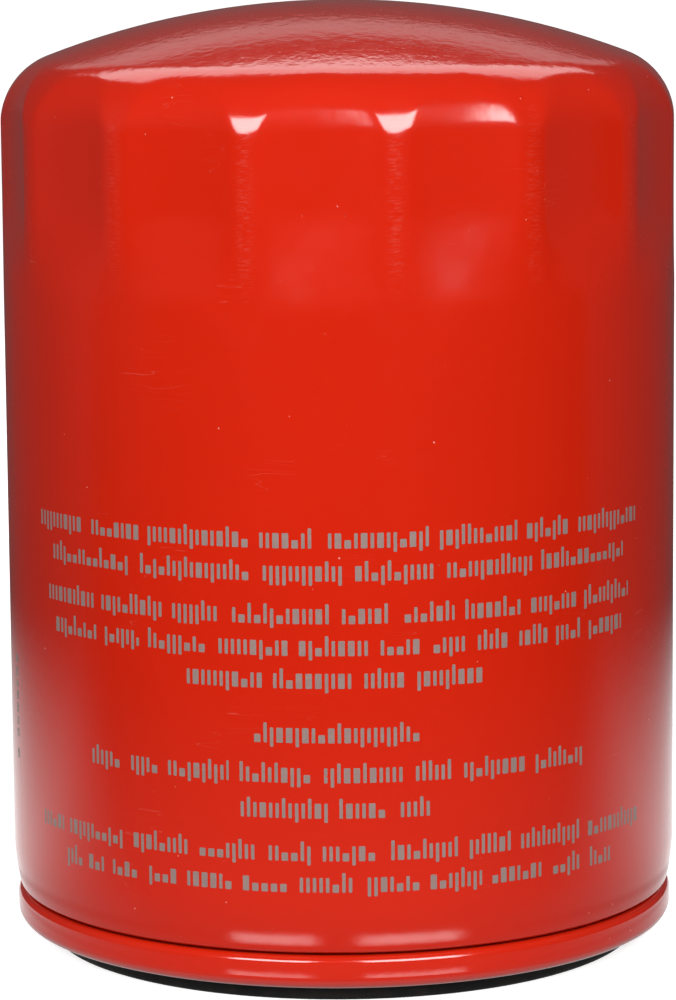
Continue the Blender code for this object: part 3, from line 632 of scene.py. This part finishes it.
def press_can(r, z, heading):
    if z < RUNOUT_LOW - 2 * MM:
        wave = unevenness(r, z, heading) * min(max((z - NECK_BOTTOM) / (4 * MM), 0.0), 1.0)
        return (r + min(wave, 0.0), z)
    moved = r + min(unevenness(r, z, heading), 0.0)
    if r > CORNER_CENTRE:
        outside = hypot(r - CORNER_CENTRE, max(z - CORNER_Z, 0.0)) > CORNER_RADIUS - 0.5 * CAN_WALL
        surface = CAN_RADIUS if outside else CAN_RADIUS - CAN_WALL
        depth = (CAN_RADIUS - flat_limit(heading)) * run_out(z)
        rise = min(max(z - TURN_OVER_Z, 0.0), 0.99 * CORNER_RADIUS)
        turned_over = CORNER_RADIUS - sqrt(CORNER_RADIUS**2 - rise**2)
        pressed = smooth_min(r, surface - depth - turned_over, CREASE_BLUR * depth + 1e-7)
        eased = min(max((r - CORNER_CENTRE) / (4 * MM), 0.0), 1.0)
        moved += (pressed - r) * eased
    return (moved, z)


def can_middle_line():
    half = 0.5 * CAN_WALL
    turn = 90 - CORNER_TURN * 180 / pi
    line = arc((0.0, CAN_TOP - DOME_RADIUS), DOME_RADIUS - half, 90, 90 - turn, 16)
    line[0] = (0.0, CAN_TOP - half)
    line += arc((CORNER_CENTRE, CORNER_Z), CORNER_RADIUS - half, 90 - turn, 0, 24)[1:]
    wall, neck = CAN_RADIUS - half, NECK_RADIUS - half
    line += straight(line[-1], (wall, RUNOUT_HIGH), 18)
    line += straight(line[-1], (wall, RUNOUT_LOW - 2 * MM), 20)
    line += straight(line[-1], (wall, NECK_TOP + MM), 12)
    over = 0.5 * SEAM_LAYER + 0.5 * LID_WALL + GAP + half
    roll = (neck - TOP_FOLD[0]) / cos(NECK_LEAN)
    roll_z = TOP_FOLD[1] + over + roll
    fall = NECK_TOP + MM - (roll_z - roll * sin(NECK_LEAN))
    for k in range(1, 13):
        share = k / 12
        line.append((wall + (neck - wall) * share**2, NECK_TOP + MM - fall * share))
    line += arc((TOP_FOLD[0], roll_z), roll, -degrees(NECK_LEAN), -90, 8)[1:]
    line += arc(TOP_FOLD, over, 90, 180, 8)[1:]
    line += arc(BOTTOM_FOLD, 0.5 * SEAM_LAYER, 180, 360, 10)
    line += [(BOTTOM_FOLD[0] + 0.5 * SEAM_LAYER, TOP_FOLD[1])]
    return line


def make_can():
    middle = can_middle_line()
    outer, inner = sheet_sides(middle, CAN_WALL)
    seam_points = 30
    kept = [p for k, p in enumerate(inner[1:-1]) if k % 3 == 0 or k > len(inner) - seam_points]
    kept = [inner[0]] + kept + [inner[-1]]
    outline = outer + rolled_edge(outer, inner, CAN_WALL) + kept[::-1]
    shell = piece("can_shell", turned(outline, AROUND, press_can), PAINT, "housing", "can", 50)
    rub = shell.data.attributes.new("rub", "FLOAT", "POINT")
    for vert, item in zip(shell.data.vertices, rub.data):
        r = hypot(vert.co.x, vert.co.y)
        heading = Vector((vert.co.x, vert.co.y)).angle_signed(Vector((1, 0))) if r > 0 else 0.0
        from_flat = (heading - FIRST_RIDGE) % FLAT_PITCH - 0.5 * FLAT_PITCH
        from_ridge = (0.5 * FLAT_PITCH - abs(from_flat)) * r
        near = max(1 - (from_ridge / RUB_HALF_WIDTH) ** 2, 0.0)
        above = min(max((vert.co.z - RUB_LOW) / (6 * MM), 0.0), 1.0)
        below = min(max((RUB_HIGH - vert.co.z) / (4 * MM), 0.0), 1.0)
        item.value = near * above * below


PRINT_LIFT = 0.006 * MM
# Height of the middle of each printed line, its length along the wall, and its number of words
PRINT_LINES = (
    (62.4, 95.8, 8),
    (58.1, 89.2, 6),
    (52.5, 91.9, 9),
    (48.3, 88.4, 11),
    (44.0, 40.4, 4),
    (36.8, 21.7, 1),
    (31.5, 72.9, 8),
    (26.8, 25.6, 3),
    (21.1, 97.2, 10),
    (16.9, 84.7, 12),
)
PRINT_HEADING = radians(-91.0)
# Width of each kind of mark, and its lowest and highest point from the middle of its line, in mm
MARKS = (
    (0.46, -1.0, 1.0),
    (0.46, -1.0, 1.0),
    (0.46, -1.0, 1.65),
    (0.46, -1.55, 1.0),
    (0.86, -1.0, 1.0),
    (0.86, -1.0, 0.1),
)
MARK_CORNER = 0.12 * MM
WORD_SPACE = 1.5 * MM
MARK_GAP = 0.40 * MM
SIDE_PRINT_HEADING = radians(-165.5)
SIDE_PRINT_LOW = 27.0 * MM
SIDE_PRINT_HIGH = 42.0 * MM


def mark(verts, faces, heading_low, heading_high, low, high, radius):
    """One rounded mark of ink on the wall: a thin closed pad that follows the can."""
    corner = min(MARK_CORNER, 0.45 * (high - low), 0.45 * (heading_high - heading_low) * radius)
    turns = (0.0, pi / 4, pi / 2)
    columns = [(heading_low * radius + corner * (1 - cos(t)), corner * (1 - sin(t))) for t in turns]
    middle = 0.5 * (heading_low + heading_high) * radius
    columns += [(middle, 0.0)]
    columns += [(2 * middle - u, inset) for u, inset in columns[:3][::-1]]
    start = len(verts)
    for u, inset in columns:
        heading = u / radius
        for lift in (PRINT_LIFT, -0.03 * MM):
            for z in (low + inset, high - inset):
                verts.append(((radius + lift) * cos(heading), (radius + lift) * sin(heading), z))
    for k in range(len(columns) - 1):
        a, b = start + 4 * k, start + 4 * (k + 1)
        faces += [[a, b, b + 1, a + 1], [a + 2, a + 3, b + 3, b + 2]]
        faces += [[a, a + 2, b + 2, b], [a + 1, b + 1, b + 3, a + 3]]
    end = start + 4 * (len(columns) - 1)
    faces += [[start, start + 1, start + 3, start + 2], [end, end + 2, end + 3, end + 1]]


def make_print():
    """Lines of plain upright bars in place of print: groups the size of words, with no letters."""
    draw = random.Random(7)
    verts, faces = [], []
    radius = CAN_RADIUS
    for height, length, words in PRINT_LINES:
        shares = [draw.uniform(0.35, 1.0) for _ in range(words)]
        free = length * MM - WORD_SPACE * (words - 1)
        at = -0.5 * length * MM
        for share in shares:
            end = at + free * share / sum(shares)
            while at < end - 0.3 * MM:
                wide, under, over = draw.choice(MARKS)
                width = min(wide * MM, end - at)
                start = PRINT_HEADING + at / radius
                low, high = (height + under) * MM, (height + over) * MM
                mark(verts, faces, start, start + width / radius, low, high, radius)
                at += width + MARK_GAP
            at = end + WORD_SPACE
    start = SIDE_PRINT_HEADING
    at = SIDE_PRINT_LOW
    while at < SIDE_PRINT_HIGH:
        size = draw.uniform(0.9, 1.5) * MM
        mark(verts, faces, start, start + 1.3 * MM / radius, at, at + size, radius)
        at += size + (1.6 * MM if draw.random() > 0.75 else 0.5 * MM)
    piece("print_marks", (verts, faces), INK, "housing", None, 30)


# ---- seam, gasket and base


def press_flange(r, z, heading):
    """Spot welds: shallow round dimples in the retainer's flange."""
    if r > 34.5 * MM or z > FLANGE_Z + LID_WALL:
        return (r, z)
    turn = 2 * pi / WELDS
    along = ((heading + 0.5 * turn) % turn - 0.5 * turn) * WELD_CIRCLE
    away = hypot(along, r - WELD_CIRCLE)
    dent = 0.16 * MM * (1 - min(away / (1.7 * MM), 1.0) ** 2) ** 2
    rim = 0.05 * MM * max(1 - abs(away - 2.0 * MM) / (0.5 * MM), 0.0)
    return (r, z + dent - rim)


def make_retainer():
    bend = 0.6 * MM
    inner_wall = GASKET_INNER - GAP - 0.5 * LID_WALL
    floor_z = GASKET_TOP + GAP + 0.5 * LID_WALL
    chuck = BOTTOM_FOLD[0] - SEAM_LAYER
    line = [(FLANGE_INNER, FLANGE_Z)]
    line += straight(line[-1], (inner_wall - bend, FLANGE_Z), 14)
    line += arc((inner_wall - bend, FLANGE_Z + bend), bend, -90, 0, 6)[1:]
    line += arc((inner_wall + bend, floor_z - bend), bend, 180, 90, 6)
    line += arc((chuck - bend, floor_z - bend), bend, 90, 0, 6)
    line += arc(BOTTOM_FOLD, SEAM_LAYER, 180, 360, 24)
    line += arc(TOP_FOLD, 0.5 * SEAM_LAYER, 0, 180, 14)
    line += [(TOP_FOLD[0] - 0.5 * SEAM_LAYER, BOTTOM_FOLD[1])]
    outline = sheet(line, LID_WALL)
    outline = [(min(r, RING_REACH), z) for r, z in outline]
    geometry = turned(outline, 480, press_flange)
    piece("retainer_ring", geometry, RING_PAINT, "housing", "gasket_retainer", 50)


def make_sealant():
    inside = BOTTOM_FOLD[0] - 0.5 * SEAM_LAYER - 0.5 * CAN_WALL - GAP
    low = GASKET_TOP + LID_WALL + 2 * GAP
    outline = [
        (inside - 1.5 * MM, low),
        (inside, low),
        (inside, low + 1.2 * MM),
        (inside - 0.6 * MM, low + 0.7 * MM),
    ]

    def bead(r, z, heading):
        if z <= low + 0.05 * MM:
            return (r, z)
        return (r, z + 0.12 * MM * noise.noise(Vector((cos(heading), sin(heading), r * 50)) * 14) - 0.06 * MM)

    geometry = turned(softened(outline, 0.25 * MM), 360, bead)
    piece("seam_compound", geometry, COMPOUND, "housing", "seam_sealant")


def make_gasket():
    """Square-cut moulded ring: rounded edges and a parting line."""
    edge = 0.7 * MM
    outer = GASKET_REACH - 0.04 * MM
    line = arc((GASKET_INNER + edge, GASKET_LOW + edge), edge, 180, 270, 6)
    line += straight(line[-1], (outer - edge, GASKET_LOW), 8)
    line += arc((outer - edge, GASKET_LOW + edge), edge, 270, 360, 6)[1:]
    middle = 0.5 * (GASKET_LOW + GASKET_TOP)
    line += [(outer, middle - 0.12 * MM), (GASKET_REACH, middle), (outer, middle + 0.12 * MM)]
    line += arc((outer - edge, GASKET_TOP - edge), edge, 0, 90, 5)
    line += arc((GASKET_INNER + edge, GASKET_TOP - edge), edge, 90, 180, 5)

    def skin(r, z, heading):
        spot = Vector((r * cos(heading), r * sin(heading), z))
        grain = 0.02 * MM * noise.noise(spot / (0.9 * MM))
        if z < GASKET_LOW + 0.2 * MM:
            return (r, z)
        return (r + min(grain, 0.0), z)

    piece("gasket_ring", turned(line, 720, skin), GASKET_RUBBER, "housing", "gasket", 50)


def thread_radius(z, heading):
    """Right-hand 60 degree thread with flat crests and roots."""
    phase = (z / THREAD_PITCH - heading / (2 * pi)) % 1.0
    flank = abs(phase - 0.5) * 2
    share = min(max((flank - 0.18) / 0.62, 0.0), 1.0)
    return THREAD_MINOR + 0.04 * MM + (THREAD_MAJOR - THREAD_MINOR - 0.04 * MM) * share


def make_base_plate():
    plate_top = VALVE_LOW - GAP
    entry = ENTRY_RADIUS - THREAD_MINOR
    fillet = 1.0 * MM
    soft = 0.35 * MM
    outline = [(ENTRY_RADIUS, PLATE_LOW)]
    outline += straight(outline[-1], (ENTRY_RADIUS + 0.8 * MM, PLATE_LOW), 2)
    outline += straight(outline[-1], (PLATE_REACH - soft, PLATE_LOW), 8)
    outline += arc((PLATE_REACH - soft, PLATE_LOW + soft), soft, -90, 0, 4)[1:]
    outline += arc((PLATE_REACH - soft, plate_top - soft), soft, 0, 90, 4)
    outline += straight(outline[-1], (HUB_RADIUS + fillet, plate_top), 8)
    outline += arc((HUB_RADIUS + fillet, plate_top + fillet), fillet, 270, 180, 6)[1:]
    outline += [(HUB_RADIUS, HUB_TOP - soft)]
    outline += [(HUB_RADIUS - soft, HUB_TOP), (THREAD_MINOR + 1.0 * MM, HUB_TOP)]
    bore = [(THREAD_MINOR, HUB_TOP - 0.2 * MM)]
    outline += bore + straight(bore[-1], (THREAD_MINOR, PLATE_LOW + entry), 92)

    def threaded(r, z, heading):
        if r > THREAD_MINOR + 0.01 * MM:
            return (r, z)
        opening = PLATE_LOW + ENTRY_RADIUS - z
        return (max(thread_radius(z, heading), opening), z)

    geometry = turned(outline, 144, threaded)
    plate = piece("threaded_plate", geometry, PLATED, "housing", "base_plate")
    cutters = []
    for index in range(INLETS):
        heading = 2 * pi * (index + 0.5) / INLETS
        x, y = INLET_CIRCLE * cos(heading), INLET_CIRCLE * sin(heading)
        cutters.append(peg(INLET_RADIUS, PLATE_LOW - MM, plate_top + MM, x, y))
    cut(plate, cutters)


def make_drain_valve():
    neck = HUB_RADIUS + GAP
    wall = 1.2 * MM
    flange = 17.5 * MM
    under = VALVE_TOP - wall
    outline = [
        (neck, VALVE_LOW + 2.0 * MM),
        (neck + wall, VALVE_LOW + 2.0 * MM),
        (neck + wall, under - 0.6 * MM),
        (flange, under - 0.6 * MM),
        (0.5 * (flange + VALVE_REACH), 0.5 * (under + VALVE_LOW) - 0.3 * MM),
        (VALVE_REACH - 1.2 * MM, VALVE_LOW),
        (VALVE_REACH, VALVE_LOW),
        (VALVE_REACH, VALVE_LOW + 0.7 * MM),
        (0.5 * (flange + VALVE_REACH) + 0.8 * MM, 0.5 * (under + VALVE_LOW) + 0.75 * MM),
        (flange + 0.8 * MM, VALVE_TOP - 0.4 * MM),
        (flange - 0.6 * MM, VALVE_TOP),
        (neck, VALVE_TOP),
    ]
    geometry = turned(softened(outline, 0.6 * MM), 144)
    valve = piece("drain_valve_cone", geometry, VALVE_RUBBER, "housing", "anti_drain_valve")
    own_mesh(valve)


# ---- filter element


def make_end_caps():
    half = 0.5 * CAP_WALL
    rim = CAP_REACH - half
    bend = 0.8 * MM
    low = LOWER_CAP_Z + half
    collar = LOWER_CAP_HOLE + half
    line = [(collar, low + CAP_COLLAR)]
    line += arc((collar + bend, low + bend), bend, 180, 270, 8)
    line += straight(line[-1], (rim - bend, low), 12)
    line += arc((rim - bend, low + bend), bend, 270, 360, 8)[1:]
    line += [(rim, low + CAP_RIM)]
    geometry = turned(sheet(line, CAP_WALL), 144)
    piece("element_cap_lower", geometry, TIN, "element", "lower_end_cap")
    high = UPPER_CAP_Z - half
    line = [(rim, high - CAP_RIM)]
    line += arc((rim - bend, high - bend), bend, 0, 90, 8)
    line += straight(line[-1], (CAP_HOLE, high), 14)
    geometry = turned(sheet(line, CAP_WALL), 144)
    piece("element_cap_upper", geometry, TIN, "element", "upper_end_cap")


def make_beds():
    for name, cad in (("adhesive_lower", "lower_adhesive_bed"), ("adhesive_upper", "upper_adhesive_bed")):
        reach, low, high = span(cad)
        geometry = turned(oblong(TUBE_REACH + GAP, reach, low, high, 0.4 * MM), 120)
        piece(name, geometry, PLASTISOL, "element", cad)


def make_media():
    """Pleated paper with round folds, as one closed sheet."""
    pitch = 2 * pi / PLEATS
    line = []
    for pleat in range(PLEATS):
        valley = pleat * pitch
        peak = valley + 0.5 * pitch
        for radius, heading, away in ((PLEAT_INNER, valley, -1), (PLEAT_OUTER, peak, 1)):
            fold = Vector((cos(heading), sin(heading)))
            side = Vector((-fold.y, fold.x))
            middle = fold * (radius - away * FOLD_RADIUS)
            for k in range(7):
                angle = -pi / 2 + pi * k / 6
                line.append(middle + side * FOLD_RADIUS * sin(angle) + fold * away * FOLD_RADIUS * cos(angle))
    count = len(line)
    sides = []
    for distance in (0.5 * PAPER_THICKNESS, -0.5 * PAPER_THICKNESS):
        moved = []
        for index, point in enumerate(line):
            into = (point - line[index - 1]).normalized()
            out = (line[(index + 1) % count] - point).normalized()
            along = (into + out).normalized()
            moved.append(point + Vector((along.y, -along.x)) * distance / max(along.dot(into), 0.7))
        sides.append(moved)
    levels = 14
    rows = []
    for loop, order in ((sides[0], range(levels)), (sides[1], range(levels - 1, -1, -1))):
        for level in order:
            z = MEDIA_LOW + (MEDIA_TOP - MEDIA_LOW) * level / (levels - 1)
            sway = 0.12 * MM * sin(pi * level / (levels - 1))
            row = []
            for point in loop:
                wave = sway * noise.noise(Vector((point.x, point.y, z)) / (9 * MM))
                turn = wave / (30 * MM)
                row.append((point.x - point.y * turn, point.y + point.x * turn, z))
            rows.append(row)
    geometry = ([point for row in rows for point in row], bridged(len(rows), count, joined=True))
    piece("paper_pleats", geometry, PAPER, "element", "pleated_media", 50)


def make_clip():
    inside = FOLD_RADIUS + 0.5 * PAPER_THICKNESS + GAP + 0.2 * MM
    wall = 0.4 * MM
    back = PLEAT_OUTER + 0.5 * PAPER_THICKNESS + GAP
    front = back - 5.0 * MM
    _, low, high = span("media_seam_clip")
    side = inside + 0.5 * wall
    line = [(front, -side), (back + 0.5 * wall, -side), (back + 0.5 * wall, side), (front, side)]
    outline = sheet(line, wall)
    turn = Matrix.Rotation(pi / PLEATS, 2)
    outline = [turn @ Vector(corner) for corner in outline]
    steps = 20
    verts = []
    for k in range(steps + 1):
        z = low + (high - low) * k / steps
        verts += [(p.x, p.y, z) for p in outline]
    geometry = (verts, bridged(steps + 1, len(outline)))
    piece("paper_seam_clip", geometry, TIN, "element", "media_seam_clip", 35)


def make_tube():
    outline = oblong(TUBE_RADIUS - TUBE_WALL, TUBE_RADIUS, TUBE_LOW, TUBE_TOP, 0.12 * MM, 2)
    geometry = turned(outline, 120)
    tube = piece("perforated_tube", geometry, TIN, "element", "centre_tube")
    step = (TUBE_TOP - TUBE_LOW) / (TUBE_HOLE_ROWS + 1)
    lying = Euler((0, pi / 2, 0)).to_matrix().to_4x4()
    cutters = []
    for row in range(TUBE_HOLE_ROWS):
        for column in range(TUBE_HOLES_AROUND // 2):
            heading = pi * (2 * column + row % 2) / TUBE_HOLES_AROUND
            placed = Matrix.Translation((0, 0, TUBE_LOW + (row + 1) * step)) @ lying
            placed = Matrix.Rotation(heading, 4, "Z") @ placed
            cutters.append(transformed(peg(TUBE_HOLE_RADIUS, -25 * MM, 25 * MM), placed))
    cut(tube, cutters)


# ---- bypass valve and springs


def make_bypass_seat():
    reach, low, high = span("bypass_gasket")
    geometry = turned(oblong(CAP_HOLE, reach, low, high, 0.15 * MM), 96)
    piece("bypass_washer", geometry, SEAL_RUBBER, "element", "bypass_gasket")
    reach, low, high = span("bypass_seat")
    bend, lip = 0.7 * MM, 6.9 * MM
    flange_z = high - 0.5 * SEAT_WALL
    line = [(reach, flange_z)]
    line += straight(line[-1], (lip + bend, flange_z), 6)
    line += arc((lip + bend, flange_z - bend), bend, 90, 180, 8)[1:]
    line += [(lip, low + 0.17 * MM)]
    piece("bypass_seat_ring", turned(sheet(line, SEAT_WALL), 120), TIN, "element", "bypass_seat")


def make_bypass_cage():
    bend = 0.8 * MM
    half = 0.5 * SEAT_WALL
    flange_z, floor_z = CAGE_TOP - half, CAGE_LOW + half
    side = CAGE_RADIUS - half
    line = [(CAGE_FLANGE, flange_z)]
    line += arc((side + bend, flange_z - bend), bend, 90, 180, 8)
    line += arc((side - bend, floor_z + bend), bend, 0, -90, 8)
    line += straight(line[-1], (STEM_RADIUS + 0.35 * MM, floor_z), 4)
    geometry = turned(sheet(line, SEAT_WALL), 120)
    cage = piece("bypass_cage_cup", geometry, TIN, "element", "bypass_cage")
    low, high = floor_z + 2.5 * MM, flange_z - 2.5 * MM
    cutters = []
    for heading in (radians(45), radians(135)):
        bm = bmesh.new()
        bmesh.ops.create_cube(bm, size=1.0)
        bmesh.ops.scale(bm, verts=bm.verts, vec=(34 * MM, 9.0 * MM, high - low))
        upright = [edge for edge in bm.edges if abs((edge.verts[0].co - edge.verts[1].co).x) > MM]
        bmesh.ops.bevel(bm, geom=upright, offset=1.2 * MM, segments=4, affect="EDGES")
        bmesh.ops.translate(bm, verts=bm.verts, vec=(0, 0, 0.5 * (low + high)))
        bmesh.ops.rotate(bm, verts=bm.verts, cent=(0, 0, 0), matrix=Matrix.Rotation(heading, 3, "Z"))
        bm.verts.index_update()
        cutters.append(([tuple(v.co) for v in bm.verts], [[v.index for v in f.verts] for f in bm.faces]))
        bm.free()
    cut(cage, cutters)


def make_bypass_poppet():
    boss = STEM_RADIUS + 0.5 * MM
    top = SEAL_LOW - GAP
    plate = 0.6 * MM
    outline = [
        (0.0, BOSS_TOP),
        (boss, BOSS_TOP),
        (boss, top),
        (POPPET_REACH, top),
        (POPPET_REACH, top - plate),
        (STEM_RADIUS, top - plate),
        (STEM_RADIUS, STEM_LOW + 0.5 * MM),
        (STEM_RADIUS - 0.5 * MM, STEM_LOW),
        (0.0, STEM_LOW),
    ]
    geometry = turned(softened(outline, 0.2 * MM), 96)
    piece("bypass_plunger_stem", geometry, NYLON, "bypass_plunger", "bypass_poppet")
    geometry = turned(oblong(boss + GAP, SEAL_REACH, SEAL_LOW, SEAL_TOP, 0.25 * MM), 96)
    piece("bypass_seal_disc", geometry, SEAL_RUBBER, "bypass_plunger", "bypass_seal")


def make_springs():
    wire = 0.45 * MM
    heights = (BYPASS_SPRING_LOW + wire, BYPASS_SPRING_TOP - wire)
    points = coil_points(4.5, heights, (5.6 * MM, 5.6 * MM), 0.4)
    geometry = tube_along(points, wire)
    spring = piece("bypass_coil", geometry, SPRING_STEEL, "element", "bypass_spring")
    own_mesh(spring)
    wire = 1.1 * MM
    points = coil_points(3.5, (HOLD_LOW + wire, HOLD_TOP - wire), (17.5 * MM, 13.0 * MM), 0.5, 60)
    geometry = tube_along(points, wire, 20)
    spring = piece("hold_down_coil", geometry, SPRING_STEEL, "housing", "hold_down_spring")
    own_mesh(spring)


# ---- camera, floor and lights


def make_camera():
    data = bpy.data.cameras.new("camera")
    camera = bpy.data.objects.new("camera", data)
    bpy.context.scene.collection.objects.link(camera)
    data.lens = 147.89
    data.sensor_width = 36.0
    data.shift_x = -0.00288
    data.shift_y = 0.00832
    data.clip_start = 0.02
    data.clip_end = 60.0
    tilt = Euler((radians(81.3), 0, 0)).to_matrix() @ Matrix.Rotation(radians(-0.4786), 3, "Z")
    camera.matrix_world = Matrix.Translation((0.0, -0.5686, 0.14656)) @ tilt.to_4x4()
    bpy.context.scene.camera = camera


LIGHT_DISTANCE = 0.75
LIGHT_TARGET = Vector((0, 0, 0.115))


def soft_light(name, azimuth, elevation, width, height, radiance, diffuse=True, glossy=True):
    """A softbox at an azimuth (0 is the camera's side) and elevation from the filter; sizes in degrees."""
    az, el = radians(azimuth), radians(elevation)
    back = Vector((sin(az) * cos(el), -cos(az) * cos(el), sin(el)))
    data = bpy.data.lights.new(name, "AREA")
    data.shape = "RECTANGLE"
    data.size = 2 * LIGHT_DISTANCE * tan(radians(width / 2))
    data.size_y = 2 * LIGHT_DISTANCE * tan(radians(height / 2))
    data.energy = radiance * pi * data.size * data.size_y
    light = bpy.data.objects.new(name, data)
    bpy.context.scene.collection.objects.link(light)
    facing = back.to_track_quat("Z", "Y").to_matrix().to_4x4()
    light.matrix_world = Matrix.Translation(LIGHT_TARGET + back * LIGHT_DISTANCE) @ facing
    light.visible_camera = False
    light.visible_diffuse = diffuse
    light.visible_glossy = glossy


def make_lights():
    soft_light("softbox_left", -25.5, 18, 27, 23, 12.0)
    soft_light("softbox_right", 24, 20, 33, 27, 12.0)
    soft_light("overhead_panel", 180, 57, 66, 25, 2.4, diffuse=False)
    soft_light("backdrop_band", 180, 30, 44, 9, 0.55, diffuse=False)
    soft_light("top_fill", 0, 62, 60, 30, 0.3, glossy=False)
    soft_light("side_fill_left", -84, 12, 40, 40, 1.5, glossy=False)
    soft_light("side_fill_right", 112, 12, 30, 40, 0.15, glossy=False)
    soft_light("back_fill_left", -150, 4, 40, 20, 1.1, glossy=False)
    soft_light("back_fill_right", 150, 4, 40, 20, 1.1, glossy=False)


def make_world():
    world = bpy.data.worlds.new("studio")
    world.use_nodes = True
    bpy.context.scene.world = world
    tree = world.node_tree
    tree.nodes.clear()
    way = node(tree, "TexCoord").outputs["Generated"]
    behind = node(tree, "SeparateXYZ", {0: way}).outputs["Y"]
    seen = ramp(tree, behind, 0.80, 1.0, 0.06, 0.11)
    rays = node(tree, "LightPath")
    level = node(tree, "Mix", {0: rays.outputs["Is Glossy Ray"], 2: 0.11, 3: seen}).outputs[0]
    level = node(tree, "Mix", {0: rays.outputs["Is Camera Ray"], 2: level, 3: 1.0}).outputs[0]
    background = node(tree, "Background", {"Color": (1, 1, 1, 1), "Strength": level})
    out = node(tree, "OutputWorld")
    tree.links.new(background.outputs[0], out.inputs[0])


def make_floor():
    """A pale floor whose brightness is painted light: the camera, matt light and the paint's mirror image
    each see their own brightness. The camera sees it glow white, less near the filter so that the real shadow
    shows; matt light sees a painted pool of light around the filter; the mirror image sees a painted glow,
    with a glossy ring near the gasket.
    """
    size = 12.0
    mesh = bpy.data.meshes.new("floor")
    corners = [(-size, -size, 0), (size, -size, 0), (size, size, 0), (-size, size, 0)]
    mesh.from_pydata(corners, [], [(0, 1, 2, 3)])
    floor = bpy.data.objects.new("floor", mesh)
    bpy.context.scene.collection.objects.link(floor)
    floor.location.z = -0.02 * MM
    made = bpy.data.materials.new("floor")
    made.use_nodes = True
    tree = made.node_tree
    tree.nodes.clear()
    spot = node(tree, "TexCoord").outputs["Object"]
    away = node(tree, "VectorMath", {0: spot}, operation="LENGTH").outputs["Value"]
    # painted pool of light for bounce: the matt floor is bright near the filter and dark further out
    near = ramp(tree, away, 0.105, 0.055, 0.03, 0.35)
    bounce_pool_colour = node(tree, "CombineXYZ", {0: near, 1: near, 2: near}).outputs[0]
    matt = node(tree, "BsdfDiffuse", {"Color": bounce_pool_colour})
    shine = node(tree, "BsdfGlossy", {"Color": (1, 1, 1, 1), "Roughness": 0.12})
    depth = node(tree, "SeparateXYZ", {0: spot}).outputs[1]
    # painted glow seen in the paint's reflections: brighter behind the filter, fading with distance, and
    # bright right under its rim
    painted_floor_glow = ramp(tree, depth, -0.06, 0.04, 0.15, 1.0)
    painted_floor_glow = calc(tree, "MULTIPLY", painted_floor_glow, ramp(tree, away, 0.30, 0.07, 0.07, 1.2))
    painted_floor_glow = calc(tree, "MAXIMUM", painted_floor_glow, ramp(tree, away, 0.053, 0.047, 0.0, 0.65))
    lit = node(tree, "Emission", {"Color": (1, 1, 1, 1), "Strength": painted_floor_glow})
    close = ramp(tree, away, 0.0565, 0.0585)
    close = calc(tree, "MULTIPLY", close, ramp(tree, away, 0.0635, 0.0605, 0.0, 0.3))
    mirrored = node(tree, "MixShader", {0: close, 1: lit.outputs[0], 2: shine.outputs[0]})
    glossy = node(tree, "LightPath").outputs["Is Glossy Ray"]
    reflected = node(tree, "MixShader", {0: glossy, 1: matt.outputs[0], 2: mirrored.outputs[0]})
    pale = node(tree, "BsdfDiffuse", {"Color": (0.8, 0.8, 0.8, 1)})
    bright = ramp(tree, away, 0.05, 0.3, 0.7, 1.0)
    glow = node(tree, "Emission", {"Color": (1, 1, 1, 1), "Strength": bright})
    shown = node(tree, "AddShader", {0: pale.outputs[0], 1: glow.outputs[0]})
    rays = node(tree, "LightPath")
    camera = rays.outputs["Is Camera Ray"]
    floor_look = node(tree, "MixShader", {0: camera, 1: reflected.outputs[0], 2: shown.outputs[0]})
    clear = node(tree, "BsdfTransparent")
    under = node(tree, "NewGeometry").outputs["Backfacing"]
    passing = calc(tree, "MAXIMUM", under, rays.outputs["Is Shadow Ray"])
    final = node(tree, "MixShader", {0: passing, 1: floor_look.outputs[0], 2: clear.outputs[0]})
    out = node(tree, "OutputMaterial")
    tree.links.new(final.outputs[0], out.inputs[0])
    mesh.materials.append(made)


make_camera()
make_world()
make_lights()
make_floor()
make_can()
make_print()
make_retainer()
make_sealant()
make_gasket()
make_base_plate()
make_drain_valve()
make_end_caps()
make_beds()
make_media()
make_clip()
make_tube()
make_bypass_seat()
make_bypass_cage()
make_bypass_poppet()
make_springs()
bpy.context.scene.view_settings.view_transform = "Standard"
